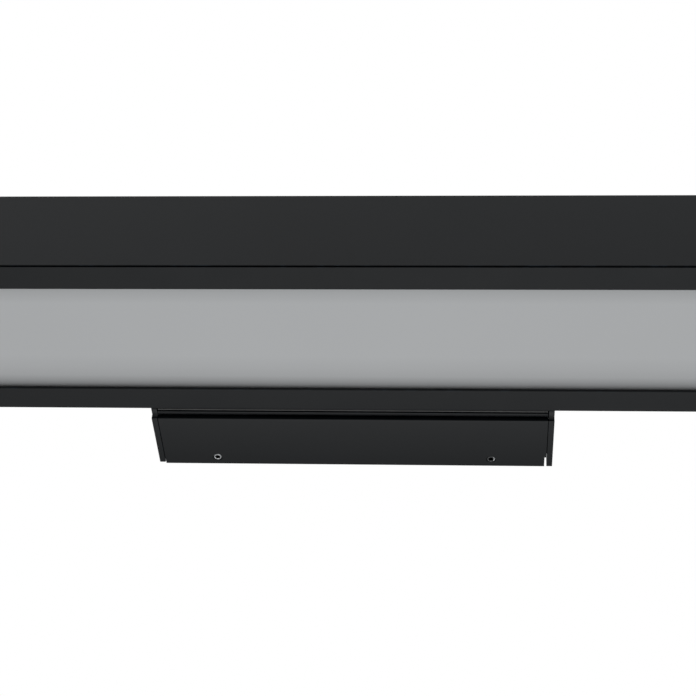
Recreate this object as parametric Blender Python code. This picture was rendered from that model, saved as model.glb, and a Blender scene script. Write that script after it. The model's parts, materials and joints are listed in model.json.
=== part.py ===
"""Wall-mounted LED vanity light bar, modelled in metres.

X runs along the bar, +Y points at the wall and +Z up. The origin is the middle of the wall bracket's
back face, so the wall is the plane Y = 0 and the lamp stands out from it towards -Y.
"""

import math

import bmesh
import bpy

MM = 0.001
GAP = 0.3 * MM  # left between pieces that touch
TRIM = 0.15 * MM  # clearance of a shank in its hole

# Bar
BAR_LENGTH = 610 * MM
BAR_DEPTH = 98 * MM
BAR_HEIGHT = 48.6 * MM
BAR_WALL = 2 * MM
CAP_THICK = 3 * MM
LIP_WIDTH = 14.4 * MM  # underside lips in front of and behind the diffuser
LIP_THICK = 1.7 * MM
SEAM = 1.1 * MM  # shadow line between the front wall and the lip under it
SEAM_EDGE = 0.2 * MM  # edge of the lip that shows below the shadow line
DIFFUSER_THICK = 2 * MM

# Canopy, the box that covers the wall bracket
CANOPY_WIDTH = 200 * MM
CANOPY_HEIGHT = 54 * MM
CANOPY_DEPTH = 35.3 * MM
CANOPY_SHEET = 2 * MM
CANOPY_END_THICK = 2.9 * MM
CANOPY_BEND = 0.6 * MM
NECK_DEPTH = 4.7 * MM  # from the canopy's front to the bar's back
NOTCH_WIDTH = 0.8 * MM
NOTCH_DEPTH = 7.3 * MM

# Wall bracket
BRACKET_LENGTH = 160 * MM
BRACKET_SHEET = 2 * MM
BRACKET_DEPTH = 12 * MM
CABLE_HOLE_RADIUS = 10 * MM
CABLE_HOLE = (-24 * MM, 2 * MM)
SLOT_X = 60 * MM
SLOT_LENGTH = 13 * MM
SLOT_HEIGHT = 5.4 * MM

# Set screws in the underside of the canopy
SET_SCREW_SPAN = 69.5 * MM
SET_SCREW_SHIFT = -0.3 * MM  # the pair sits a little to the left of the middle
SET_SCREW_INSET = 5.3 * MM  # from the wall
SET_SCREW_LENGTH = 5 * MM
SET_SCREW_SINK = 0.2 * MM

# Planes that follow from them
BAR_BACK = -(CANOPY_DEPTH + NECK_DEPTH)
BAR_FRONT = BAR_BACK - BAR_DEPTH
BAR_MIDDLE = (BAR_BACK + BAR_FRONT) / 2
BAR_TOP = BAR_HEIGHT / 2
BAR_UNDER = -BAR_HEIGHT / 2
HOUSING_END = BAR_LENGTH / 2 - CAP_THICK - GAP
CANOPY_UNDER = -CANOPY_HEIGHT / 2
CANOPY_INNER_FRONT = -CANOPY_DEPTH + CANOPY_SHEET
CANOPY_INNER_X = CANOPY_WIDTH / 2 - CANOPY_END_THICK
CANOPY_SHEET_END = CANOPY_INNER_X - GAP
SET_SCREW_TIP = CANOPY_UNDER + SET_SCREW_SINK + SET_SCREW_LENGTH
BRACKET_UNDER = SET_SCREW_TIP + GAP
BRACKET_TOP = CANOPY_HEIGHT / 2 - CANOPY_SHEET - GAP

# Inside the bar: half profile, with u measured from the bar's middle plane towards front or back
HALF_DEPTH = BAR_DEPTH / 2
INNER_WALL = HALF_DEPTH - BAR_WALL
RIB_REACH = INNER_WALL - 2.5 * MM
RIB_UNDER = -15.5 * MM
RIB_TOP = -14 * MM
PORT_REACH = INNER_WALL - 5.2 * MM
PORT_UNDER = -8 * MM
PORT_TOP = -2.2 * MM
PORT_RADIUS = 1.4 * MM
PORT_SLOT = 0.6 * MM
SIDE_PORT = (INNER_WALL - 2.8 * MM, -5.1 * MM)
TOP_PORT = (29 * MM, 19.4 * MM)
TOP_PORT_HALF = 2.6 * MM
TRAY_UNDER = PORT_TOP + GAP
TRAY_THICK = 1.5 * MM
TRAY_SCREW_X = 270 * MM
TRAY_SCREW_BITE = 1.4 * MM
TRAY_HOLE_RADIUS = 6.5 * MM
BOARD_LENGTH = 560 * MM
BOARD_WIDTH = 20 * MM
BOARD_THICK = 1.6 * MM
BOARD_ROW = 17 * MM
BOARD_TOP = TRAY_UNDER - GAP
CHIPS_PER_BOARD = 14
DIFFUSER_UNDER = BAR_UNDER + LIP_THICK + GAP

# Fasteners: shank radius, head radius, head height
M2_5 = (1.25 * MM, 2.3 * MM, 1.7 * MM)
M3 = (1.5 * MM, 2.8 * MM, 2.0 * MM)
M4 = (2.0 * MM, 3.8 * MM, 2.6 * MM)
BOLT_X = 80 * MM
BOLT_HEIGHTS = (5 * MM, 17 * MM)
NUT_RADIUS = 4.04 * MM
NUT_THICK = 3.2 * MM

# Electrical parts in the canopy: X from and to, and half height
DRIVER = (-34 * MM, 48 * MM, 15 * MM)
DRIVER_DEPTH = 20 * MM
DRIVER_EAR = 6 * MM
DRIVER_EAR_THICK = 3 * MM
TERMINAL = (-68 * MM, -46 * MM, 9 * MM)
TERMINAL_DEPTH = 14 * MM
TERMINAL_PITCH = 6 * MM
WIRE_HOLE = (62 * MM, 10 * MM)
WIRE_HOLE_RADIUS = 5 * MM
EARTH_POINT = (-57 * MM, 17 * MM)
BRACKET_EARTH_POINT = (38 * MM, -9 * MM)
LEAD_RADIUS = 0.9 * MM

ROUND = 14  # sides of a round hole
SCREW_SIDES = 12
SIDES = ((-1, "left"), (1, "right"))


# ---------------------------------------------------------------- helpers

def clear_scene():
    for item in list(bpy.data.objects):
        bpy.data.objects.remove(item, do_unlink=True)


def make_material(name, color, roughness, metallic=0.0):
    material = bpy.data.materials.new(name)
    material.use_nodes = True
    shader = material.node_tree.nodes["Principled BSDF"]
    shader.inputs["Base Color"].default_value = (*color, 1.0)
    shader.inputs["Roughness"].default_value = roughness
    shader.inputs["Metallic"].default_value = metallic
    material.diffuse_color = (*color, 1.0)
    return material


def add_object(name, mesh, material=None):
    item = bpy.data.objects.new(name, mesh)
    bpy.context.scene.collection.objects.link(item)
    if material:
        mesh.materials.append(material)
    return item


def mesh_from(bm, name):
    bmesh.ops.recalc_face_normals(bm, faces=bm.faces)
    mesh = bpy.data.meshes.new(name)
    bm.to_mesh(mesh)
    bm.free()
    return mesh


def add_ring(bm, ring):
    return [bm.verts.new(point) for point in ring]


def bridge(bm, first, second):
    count = len(first)
    for i in range(count):
        j = (i + 1) % count
        bm.faces.new((first[i], first[j], second[j], second[i]))


def add_prism(bm, first_ring, second_ring):
    """A closed body between two rings with the same number of points."""
    first = add_ring(bm, first_ring)
    second = add_ring(bm, second_ring)
    bridge(bm, first, second)
    bm.faces.new(first)
    bm.faces.new(second)


def add_box(bm, low, high):
    corners = [(low[0], low[1]), (high[0], low[1]), (high[0], high[1]), (low[0], high[1])]
    add_prism(bm, [(x, y, low[2]) for x, y in corners], [(x, y, high[2]) for x, y in corners])


def place(axis, along, across, up):
    """A point given along an axis and in the two directions across it."""
    if axis == "X":
        return (along, across, up)
    if axis == "Y":
        return (across, along, up)
    return (across, up, along)


def add_turned(bm, axis, centre, stations, sides=ROUND, twist=0.0):
    """A turned body: stations are (place along the axis, radius), and centre is across it."""
    rings = []
    for along, radius in stations:
        ring = []
        for i in range(sides):
            angle = twist + 2 * math.pi * i / sides
            across = centre[0] + radius * math.cos(angle)
            up = centre[1] + radius * math.sin(angle)
            ring.append(place(axis, along, across, up))
        rings.append(add_ring(bm, ring))
    for first, second in zip(rings, rings[1:]):
        bridge(bm, first, second)
    bm.faces.new(rings[0])
    bm.faces.new(rings[-1])


def arc(centre, radius, start, end, steps):
    """Points on an arc in the profile plane, with angles in degrees."""
    points = []
    for i in range(steps + 1):
        angle = math.radians(start + (end - start) * i / steps)
        points.append((centre[0] + radius * math.cos(angle), centre[1] + radius * math.sin(angle)))
    return points


def extrude_along_x(name, profile, x_from, x_to, material):
    """A closed (Y, Z) outline drawn out along X."""
    bm = bmesh.new()
    add_prism(bm, [(x_from, y, z) for y, z in profile], [(x_to, y, z) for y, z in profile])
    return add_object(name, mesh_from(bm, name), material)


def make_box(name, low, high, material, bevel=0.0):
    bm = bmesh.new()
    add_box(bm, low, high)
    item = add_object(name, mesh_from(bm, name), material)
    if bevel:
        soften(item, bevel)
    return item


def soften(item, width, segments=2):
    bevel = item.modifiers.new("edges", "BEVEL")
    bevel.width = width
    bevel.segments = segments
    bevel.limit_method = "ANGLE"
    bevel.angle_limit = math.radians(40)


def shade_round(item):
    item.data.shade_smooth()
    item.data.set_sharp_from_angle(angle=math.radians(35))


def cut(item, bm, name):
    """Takes the bodies in bm out of the item."""
    cutter = add_object(name, mesh_from(bm, name))
    cutter.hide_render = True
    cutter.display_type = "WIRE"
    boolean = item.modifiers.new(name, "BOOLEAN")
    boolean.operation = "DIFFERENCE"
    boolean.solver = "EXACT"
    boolean.object = cutter


def add_hole(bm, axis, centre, start, end, radius, sides=ROUND):
    add_turned(bm, axis, centre, [(start, radius), (end, radius)], sides)


def make_screw(name, axis, centre, seat, tip, size, material, countersunk=False):
    """A screw whose head stands on the seat plane and whose shank runs to the tip, with a hex socket."""
    shank, head, height = size
    outward = 1 if seat > tip else -1
    if countersunk:
        top = seat
        stations = [(top, head), (seat - outward * (head - shank), shank)]
    else:
        top = seat + outward * height
        crown = 0.4 * MM
        stations = [(top, head - crown), (top - outward * crown, head), (seat, head), (seat, shank)]
    stations.append((tip, shank))
    bm = bmesh.new()
    add_turned(bm, axis, centre, stations, SCREW_SIDES)
    item = add_object(name, mesh_from(bm, name), material)
    socket = bmesh.new()
    depth = height * 0.55
    hexagon = shank * 0.75
    add_turned(socket, axis, centre, [(top + outward * MM, hexagon), (top - outward * depth, hexagon)], 6)
    cut(item, socket, name + "_socket")
    shade_round(item)
    return item


def make_lead(name, points, radius, material):
    """A round wire through its points."""
    curve = bpy.data.curves.new(name, "CURVE")
    curve.dimensions = "3D"
    curve.bevel_depth = radius
    curve.bevel_resolution = 2
    curve.use_fill_caps = True
    route = smooth_route(points)
    spline = curve.splines.new("POLY")
    spline.points.add(len(route) - 1)
    for point, place_on_route in zip(spline.points, route):
        point.co = (*place_on_route, 1.0)
    item = bpy.data.objects.new(name, curve)
    bpy.context.scene.collection.objects.link(item)
    curve.materials.append(material)
    return item


def smooth_route(points, steps=2):
    """A Catmull-Rom curve through the points."""
    route = []
    last = len(points) - 1
    for i in range(last):
        p0 = points[max(i - 1, 0)]
        p1 = points[i]
        p2 = points[i + 1]
        p3 = points[min(i + 2, last)]
        for step in range(steps):
            t = step / steps
            route.append(tuple(catmull_rom(a, b, c, d, t) for a, b, c, d in zip(p0, p1, p2, p3)))
    route.append(points[-1])
    return route


def catmull_rom(a, b, c, d, t):
    straight = 2 * b + (c - a) * t
    return 0.5 * (straight + (2 * a - 5 * b + 4 * c - d) * t**2 + (3 * b - a - 3 * c + d) * t**3)


# ---------------------------------------------------------------- wall bracket

def bracket_profile():
    inner = -BRACKET_SHEET
    return [
        (0, BRACKET_UNDER),
        (0, BRACKET_TOP),
        (-BRACKET_DEPTH, BRACKET_TOP),
        (-BRACKET_DEPTH, BRACKET_TOP - BRACKET_SHEET),
        (inner, BRACKET_TOP - BRACKET_SHEET),
        (inner, BRACKET_UNDER + BRACKET_SHEET),
        (-BRACKET_DEPTH, BRACKET_UNDER + BRACKET_SHEET),
        (-BRACKET_DEPTH, BRACKET_UNDER),
    ]


def add_slot(bm, middle_x):
    """A stadium-shaped slot through the bracket's plate."""
    radius = SLOT_HEIGHT / 2
    reach = SLOT_LENGTH / 2 - radius
    outline = arc((middle_x + reach, 0), radius, -90, 90, 8)
    outline += arc((middle_x - reach, 0), radius, 90, 270, 8)
    add_prism(bm, [(x, -5 * MM, z) for x, z in outline], [(x, 3 * MM, z) for x, z in outline])


def make_bracket(steel, brass):
    half = BRACKET_LENGTH / 2
    bracket = extrude_along_x("wall_bracket", bracket_profile(), -half, half, steel)
    holes = bmesh.new()
    add_hole(holes, "Y", CABLE_HOLE, -5 * MM, 3 * MM, CABLE_HOLE_RADIUS, 24)
    add_hole(holes, "Y", BRACKET_EARTH_POINT, -5 * MM, 3 * MM, M4[0] + TRIM)
    for side, _ in SIDES:
        add_slot(holes, side * SLOT_X)
    cut(bracket, holes, "bracket_holes")
    seat = -BRACKET_SHEET - GAP
    make_screw("bracket_earth_screw", "Y", BRACKET_EARTH_POINT, seat, -GAP, M4, brass)


# ---------------------------------------------------------------- canopy

def canopy_profile():
    front = -CANOPY_DEPTH
    under = CANOPY_UNDER
    top = -under
    bend = CANOPY_BEND
    outer = [(-GAP, under)]
    outer += arc((front + bend, under + bend), bend, 270, 180, 4)
    outer += arc((front + bend, top - bend), bend, 180, 90, 4)
    outer.append((-GAP, top))
    inner = [
        (-GAP, top - CANOPY_SHEET),
        (CANOPY_INNER_FRONT, top - CANOPY_SHEET),
        (CANOPY_INNER_FRONT, under + CANOPY_SHEET),
        (-GAP, under + CANOPY_SHEET),
    ]
    return outer + inner


def bolt_places():
    return [(side * BOLT_X, height) for side, _ in SIDES for height in BOLT_HEIGHTS]


def end_screw_places():
    reach = CANOPY_INNER_X - 6 * MM
    return [(side * reach, height) for side, _ in SIDES for height in (-16 * MM, 16 * MM)]


def driver_screw_places():
    half_ear = DRIVER_EAR / 2
    return [(DRIVER[0] - half_ear, 0.0), (DRIVER[1] + half_ear, 0.0)]


def terminal_middle():
    return ((TERMINAL[0] + TERMINAL[1]) / 2, 0.0)


def set_screw_x(side):
    return side * SET_SCREW_SPAN + SET_SCREW_SHIFT


def make_canopy(black):
    body = extrude_along_x("canopy_body", canopy_profile(), -CANOPY_SHEET_END, CANOPY_SHEET_END, black)
    through = (-CANOPY_DEPTH - 3 * MM, CANOPY_INNER_FRONT + 3 * MM)
    holes = bmesh.new()
    for centre in bolt_places():
        add_hole(holes, "Y", centre, *through, M4[0] + TRIM)
    for centre in end_screw_places() + driver_screw_places() + [terminal_middle()]:
        add_hole(holes, "Y", centre, *through, M3[0] + TRIM)
    add_hole(holes, "Y", EARTH_POINT, *through, M4[0] + TRIM)
    add_hole(holes, "Y", WIRE_HOLE, *through, WIRE_HOLE_RADIUS)
    below = CANOPY_UNDER - MM
    for side, _ in SIDES:
        centre = (set_screw_x(side), -SET_SCREW_INSET)
        radius = M4[0] + TRIM
        flare = 0.35 * MM
        stations = [(below, radius + flare), (CANOPY_UNDER, radius + flare), (CANOPY_UNDER + flare, radius)]
        stations.append((CANOPY_UNDER + CANOPY_SHEET + MM, radius))
        add_turned(holes, "Z", centre, stations)
    for sheet in (CANOPY_UNDER, -CANOPY_UNDER - CANOPY_SHEET):
        low = (CANOPY_SHEET_END - NOTCH_WIDTH, -NOTCH_DEPTH, sheet - MM)
        high = (CANOPY_SHEET_END + MM, MM, sheet + CANOPY_SHEET + MM)
        add_box(holes, low, high)
    cut(body, holes, "canopy_holes")


def make_canopy_ends(black, dark_screw):
    """The end plates: each has a tab behind the canopy's front, a tongue beside the neck, and
    two ribs that lap inside the canopy and close the joint from within."""
    tab_reach = 12 * MM
    tab_thick = 1.5 * MM
    tab_half = 22 * MM
    rib_reach = 1.1 * MM
    rib_height = 1.5 * MM
    rib_outside = -CANOPY_UNDER - CANOPY_SHEET - GAP
    tab_front = CANOPY_INNER_FRONT + GAP
    rear_edge = {"left": -1.1 * MM, "right": -GAP}
    rib_end = {"left": -1.4 * MM, "right": -NOTCH_DEPTH - GAP}
    for side, word in SIDES:
        inner = side * CANOPY_INNER_X
        outer = side * CANOPY_WIDTH / 2
        z = -CANOPY_UNDER
        bm = bmesh.new()
        add_box(bm, (min(inner, outer), -CANOPY_DEPTH, -z), (max(inner, outer), rear_edge[word], z))
        plate = add_object("canopy_end_" + word, mesh_from(bm, "canopy_end_" + word), black)
        extras = bmesh.new()
        tip = side * (CANOPY_INNER_X - tab_reach)
        sunk = inner + side * MM
        low = (min(tip, sunk), tab_front, -tab_half)
        high = (max(tip, sunk), tab_front + tab_thick, tab_half)
        add_box(extras, low, high)
        low = (min(inner, outer), BAR_BACK + GAP, BAR_UNDER)
        high = (max(inner, outer), -CANOPY_DEPTH + MM, BAR_TOP)
        add_box(extras, low, high)
        tip = side * (CANOPY_INNER_X - rib_reach)
        for bottom in (-rib_outside, rib_outside - rib_height):
            low = (min(tip, sunk), tab_front, bottom)
            high = (max(tip, sunk), rib_end[word], bottom + rib_height)
            add_box(extras, low, high)
        join(plate, extras, "canopy_end_extras_" + word)
        holes = bmesh.new()
        through = (CANOPY_INNER_FRONT - MM, CANOPY_INNER_FRONT + 4 * MM)
        for centre in end_screw_places():
            if centre[0] * side > 0:
                add_hole(holes, "Y", centre, *through, M3[0] + TRIM)
        cut(plate, holes, "canopy_end_holes_" + word)
    seat = tab_front + tab_thick + GAP
    for number, centre in enumerate(end_screw_places(), 1):
        make_screw(f"canopy_end_screw_{number}", "Y", centre, seat, -CANOPY_DEPTH + GAP, M3, dark_screw)


def join(item, bm, name):
    """Adds the bodies in bm to the item."""
    extra = add_object(name, mesh_from(bm, name))
    extra.hide_render = True
    extra.display_type = "WIRE"
    boolean = item.modifiers.new(name, "BOOLEAN")
    boolean.operation = "UNION"
    boolean.solver = "EXACT"
    boolean.object = extra


def make_set_screws(bare_steel):
    """Headless screws that clamp the canopy to the bracket from below."""
    radius = M4[0]
    chamfer = 0.3 * MM
    foot = CANOPY_UNDER + SET_SCREW_SINK
    for side, word in SIDES:
        name = "set_screw_" + word
        centre = (set_screw_x(side), -SET_SCREW_INSET)
        stations = [
            (foot, radius - chamfer),
            (foot + chamfer, radius),
            (SET_SCREW_TIP - 2 * chamfer, radius),
            (SET_SCREW_TIP, radius - 2 * chamfer),
        ]
        bm = bmesh.new()
        add_turned(bm, "Z", centre, stations)
        screw = add_object(name, mesh_from(bm, name), bare_steel)
        socket = bmesh.new()
        hexagon = 1.25 * MM
        add_turned(socket, "Z", centre, [(foot - MM, hexagon), (foot + 2.4 * MM, hexagon)], 6)
        cut(screw, socket, name + "_socket")
        shade_round(screw)


# ---------------------------------------------------------------- neck

def neck_holes(bm, start, end):
    for centre in bolt_places():
        add_hole(bm, "Y", centre, start, end, M4[0] + TRIM)
    add_hole(bm, "Y", WIRE_HOLE, start, end, WIRE_HOLE_RADIUS)


def make_neck(black, gasket_rubber):
    """A thin gasket whose rim stands back from the bar, then a plate that is grooved at the canopy."""
    half_x = CANOPY_INNER_X - 0.4 * MM
    gasket_thick = 1.1 * MM
    rim_step = 0.3 * MM
    rim_height = 1.2 * MM
    plate_half_z = BAR_TOP + 0.6 * MM
    groove_depth = 0.5 * MM
    groove_height = 2.4 * MM
    start = BAR_BACK + GAP
    half = [
        (start, BAR_TOP - rim_height),
        (start + rim_step, BAR_TOP - rim_height),
        (start + rim_step, BAR_TOP),
        (start + gasket_thick, BAR_TOP),
    ]
    profile = [(y, -z) for y, z in half] + half[::-1]
    gasket = extrude_along_x("seat_gasket", profile, -half_x, half_x, gasket_rubber)
    holes = bmesh.new()
    neck_holes(holes, BAR_BACK - MM, -CANOPY_DEPTH + MM)
    cut(gasket, holes, "gasket_holes")
    front = start + gasket_thick + GAP
    back = -CANOPY_DEPTH - GAP
    groove = back - groove_depth
    inner = plate_half_z - groove_height
    half = [
        (front, plate_half_z),
        (groove, plate_half_z),
        (groove, inner),
        (back, inner),
    ]
    profile = [(y, -z) for y, z in half] + half[::-1]
    plate = extrude_along_x("spacer_plate", profile, -half_x, half_x, black)
    holes = bmesh.new()
    neck_holes(holes, BAR_BACK - MM, -CANOPY_DEPTH + MM)
    cut(plate, holes, "spacer_holes")


def make_coupling(zinc):
    """Bolts from inside the canopy through the neck into nuts inside the bar."""
    inside_bar = BAR_BACK - BAR_WALL
    seat = CANOPY_INNER_FRONT + GAP
    tip = inside_bar - GAP - NUT_THICK - 1.2 * MM
    for number, centre in enumerate(bolt_places(), 1):
        make_screw(f"coupling_bolt_{number}", "Y", centre, seat, tip, M4, zinc)
        name = f"coupling_nut_{number}"
        bm = bmesh.new()
        face = inside_bar - GAP
        add_turned(bm, "Y", centre, [(face, NUT_RADIUS), (face - NUT_THICK, NUT_RADIUS)], 6)
        nut = add_object(name, mesh_from(bm, name), zinc)
        hole = bmesh.new()
        add_hole(hole, "Y", centre, face + MM, face - NUT_THICK - MM, M4[0] + TRIM)
        cut(nut, hole, name + "_thread")


def make_grommet(rubber):
    """A flanged bush that lines the wire hole from the canopy to the bar."""
    inner = 2.6 * MM
    outer = WIRE_HOLE_RADIUS - 0.25 * MM
    flange = WIRE_HOLE_RADIUS + 1.6 * MM
    start = CANOPY_INNER_FRONT + GAP
    end = BAR_BACK - BAR_WALL - MM
    bm = bmesh.new()
    stations = [(start + 1.5 * MM, flange), (start, flange), (start, outer), (end, outer)]
    add_turned(bm, "Y", WIRE_HOLE, stations)
    grommet = add_object("wire_grommet", mesh_from(bm, "wire_grommet"), rubber)
    bore = bmesh.new()
    add_hole(bore, "Y", WIRE_HOLE, start + 3 * MM, end - MM, inner)
    cut(grommet, bore, "grommet_bore")
    shade_round(grommet)


# ---------------------------------------------------------------- electrics in the canopy

def make_driver(case_white, zinc):
    x_from, x_to, half_z = DRIVER
    front = CANOPY_INNER_FRONT + GAP
    case = make_box("driver_case", (x_from, front, -half_z), (x_to, front + DRIVER_DEPTH, half_z), case_white)
    ears = bmesh.new()
    low = (x_from - DRIVER_EAR, front, -DRIVER_EAR)
    high = (x_to + DRIVER_EAR, front + DRIVER_EAR_THICK, DRIVER_EAR)
    add_box(ears, low, high)
    join(case, ears, "driver_ears")
    holes = bmesh.new()
    for centre in driver_screw_places():
        add_hole(holes, "Y", centre, front - MM, front + DRIVER_EAR_THICK + MM, M3[0] + TRIM, 12)
    cut(case, holes, "driver_holes")
    seat = front + DRIVER_EAR_THICK + GAP
    for (_, word), centre in zip(SIDES, driver_screw_places()):
        make_screw("driver_screw_" + word, "Y", centre, seat, -CANOPY_DEPTH + GAP, M3, zinc)


def make_terminal(cream, zinc):
    """A three-pole block: wires enter from both sides, clamp screws face the wall."""
    x_from, x_to, half_z = TERMINAL
    front = CANOPY_INNER_FRONT + GAP
    back = front + TERMINAL_DEPTH
    block = make_box("terminal_block", (x_from, front, -half_z), (x_to, back, half_z), cream)
    wells = bmesh.new()
    middle = terminal_middle()
    for pole in (-1, 0, 1):
        height = pole * TERMINAL_PITCH
        for side in (-1, 1):
            well = (middle[0] + side * 7 * MM, height)
            add_hole(wells, "Y", well, back - 3 * MM, back + MM, 1.9 * MM, 12)
            end = x_from if side < 0 else x_to
            entry = (front + 6 * MM, height)
            add_hole(wells, "X", entry, end - side * 2 * MM, end + side * MM, 1.4 * MM, 12)
    cut(block, wells, "terminal_wells")
    grooves = bmesh.new()
    for height in (-0.5 * TERMINAL_PITCH, 0.5 * TERMINAL_PITCH):
        low = (x_from - MM, back - 1.5 * MM, height - 0.3 * MM)
        add_box(grooves, low, (x_to + MM, back + MM, height + 0.3 * MM))
    cut(block, grooves, "terminal_grooves")
    shaft = bmesh.new()
    step = front + 2.5 * MM
    narrow = M3[0] + TRIM
    wide = M3[1] + TRIM
    add_turned(shaft, "Y", middle, [(front - MM, narrow), (step, narrow), (step, wide), (back + MM, wide)])
    cut(block, shaft, "terminal_shaft")
    seat = front + 2.5 * MM + GAP
    make_screw("terminal_screw", "Y", middle, seat, -CANOPY_DEPTH + GAP, M3, zinc)


def make_earth_screw(brass):
    seat = CANOPY_INNER_FRONT + GAP
    make_screw("canopy_earth_screw", "Y", EARTH_POINT, seat, -CANOPY_DEPTH + GAP, M4, brass)


def make_leads(colours):
    """Wires held inside the canopy and the bar all the way."""
    block_x = TERMINAL[1] - MM
    driver_x = DRIVER[0] - GAP
    entry_y = CANOPY_INNER_FRONT + GAP + 6 * MM
    middle_x = (block_x + driver_x) / 2
    for name, height in (("live_lead", -TERMINAL_PITCH), ("neutral_lead", 0.0)):
        points = [
            (block_x, entry_y, height),
            (block_x + 3 * MM, entry_y, height),
            (middle_x, entry_y + 1.5 * MM, height * 0.9),
            (driver_x - 2 * MM, entry_y + 2 * MM, height * 0.8),
            (driver_x, entry_y + 2 * MM, height * 0.8),
        ]
        make_lead(name, points, LEAD_RADIUS, colours[name])
    earth_x, earth_z = EARTH_POINT
    height = TERMINAL_PITCH
    points = [
        (block_x, entry_y, height),
        (block_x + 3 * MM, entry_y, height),
        (block_x + 6 * MM, entry_y, height + 3 * MM),
        (block_x + 4.5 * MM, entry_y, height + 8 * MM),
        (block_x, entry_y - MM, earth_z),
        (earth_x + 6.5 * MM, CANOPY_INNER_FRONT + 2 * MM, earth_z),
        (earth_x + M4[1] + GAP, CANOPY_INNER_FRONT + 1.8 * MM, earth_z),
    ]
    make_lead("earth_lead", points, LEAD_RADIUS, colours["earth_lead"])
    make_led_leads(colours)


def make_led_leads(colours):
    """From the driver through the grommet, over the tray and down to the rear LED board's connector."""
    start_x = DRIVER[1] + GAP
    hole_x, hole_z = WIRE_HOLE
    tray_top = TRAY_UNDER + TRAY_THICK
    plug_z = TRAY_UNDER - 3.4 * MM
    plug_y = BAR_MIDDLE + connector_front() - GAP
    canopy_y = CANOPY_INNER_FRONT + 9 * MM
    middle = BAR_MIDDLE
    over_tray = tray_top + 2.7 * MM
    near_end = [
        (8.8 * MM, middle, tray_top),
        (7.6 * MM, middle, tray_top - 2.6 * MM),
        (6 * MM, middle + MM, plug_z + 0.6 * MM),
        (5 * MM, middle + 3 * MM, plug_z),
        (5 * MM, plug_y, plug_z),
    ]
    far_end = [
        (5 * MM, middle, over_tray + 0.6 * MM),
        (2 * MM, middle, tray_top),
        (MM, middle, tray_top - 2.6 * MM),
        (-0.6 * MM, middle + MM, plug_z + 0.6 * MM),
        (-2 * MM, middle + 3 * MM, plug_z),
        (-2 * MM, plug_y, plug_z),
    ]
    for name, offset, end in (("led_lead_plus", 1.5 * MM, far_end), ("led_lead_minus", -1.5 * MM, near_end)):
        points = [
            (start_x, canopy_y, 3 * MM + offset),
            (start_x + 3 * MM, canopy_y, 3 * MM + offset),
            (hole_x - 5 * MM, canopy_y + 0.5 * MM, 5 * MM + offset),
            (hole_x - MM, canopy_y - 2.5 * MM, 8.5 * MM + offset),
            (hole_x, CANOPY_INNER_FRONT + MM, hole_z + offset),
            (hole_x, BAR_BACK, hole_z + offset),
            (hole_x, BAR_BACK - 8 * MM, hole_z + offset),
            (hole_x - 4 * MM, BAR_BACK - 16 * MM, 7 * MM + offset),
            (hole_x - 14 * MM, BAR_BACK - 30 * MM, over_tray + offset),
            (hole_x - 28 * MM, BAR_BACK - 42 * MM, over_tray + offset),
            (hole_x - 42 * MM, middle, over_tray + offset),
            (13 * MM, middle, over_tray + offset),
            *end,
        ]
        make_lead(name, points, LEAD_RADIUS, colours[name])


# ---------------------------------------------------------------- bar

def port_outline(centre, start_angle):
    """The round screw channel inside a port block, open on one side."""
    half_open = math.degrees(math.asin(PORT_SLOT / PORT_RADIUS))
    return arc(centre, PORT_RADIUS, start_angle + half_open, start_angle + 360 - half_open, 10)


def housing_profile():
    side_z = SIDE_PORT[1]
    top_u = TOP_PORT[0]
    lower_edge = BAR_UNDER + SEAM_EDGE + SEAM
    port_open = PORT_SLOT
    block_under = BAR_TOP - BAR_WALL - 2 * TOP_PORT_HALF
    side_channel = port_outline(SIDE_PORT, 180)
    top_channel = port_outline(TOP_PORT, 270)
    half = [
        (0, BAR_TOP),
        (HALF_DEPTH, BAR_TOP),
        (HALF_DEPTH, lower_edge),
        (INNER_WALL, lower_edge),
        (INNER_WALL, RIB_UNDER),
        (RIB_REACH, RIB_UNDER),
        (RIB_REACH, RIB_TOP),
        (INNER_WALL, RIB_TOP),
        (INNER_WALL, PORT_UNDER),
        (PORT_REACH, PORT_UNDER),
        (PORT_REACH, side_z - port_open),
        *side_channel,
        (PORT_REACH, side_z + port_open),
        (PORT_REACH, PORT_TOP),
        (INNER_WALL, PORT_TOP),
        (INNER_WALL, BAR_TOP - BAR_WALL),
        (top_u + TOP_PORT_HALF, BAR_TOP - BAR_WALL),
        (top_u + TOP_PORT_HALF, block_under),
        (top_u + port_open, block_under),
        *top_channel,
        (top_u - port_open, block_under),
        (top_u - TOP_PORT_HALF, block_under),
        (top_u - TOP_PORT_HALF, BAR_TOP - BAR_WALL),
        (0, BAR_TOP - BAR_WALL),
    ]
    return half


def make_housing(black):
    half = housing_profile()
    back = [(BAR_MIDDLE + u, z) for u, z in half]
    front = [(BAR_MIDDLE - u, z) for u, z in reversed(half) if u > 0]
    housing = extrude_along_x("bar_housing", back + front, -HOUSING_END, HOUSING_END, black)
    holes = bmesh.new()
    neck_holes(holes, BAR_BACK - BAR_WALL - MM, BAR_BACK + MM)
    for centre in tray_screw_places():
        bite = PORT_TOP - TRAY_SCREW_BITE - GAP
        add_hole(holes, "Z", centre, bite, PORT_TOP + MM, M2_5[0] + TRIM, 12)
    cut(housing, holes, "housing_holes")


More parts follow.
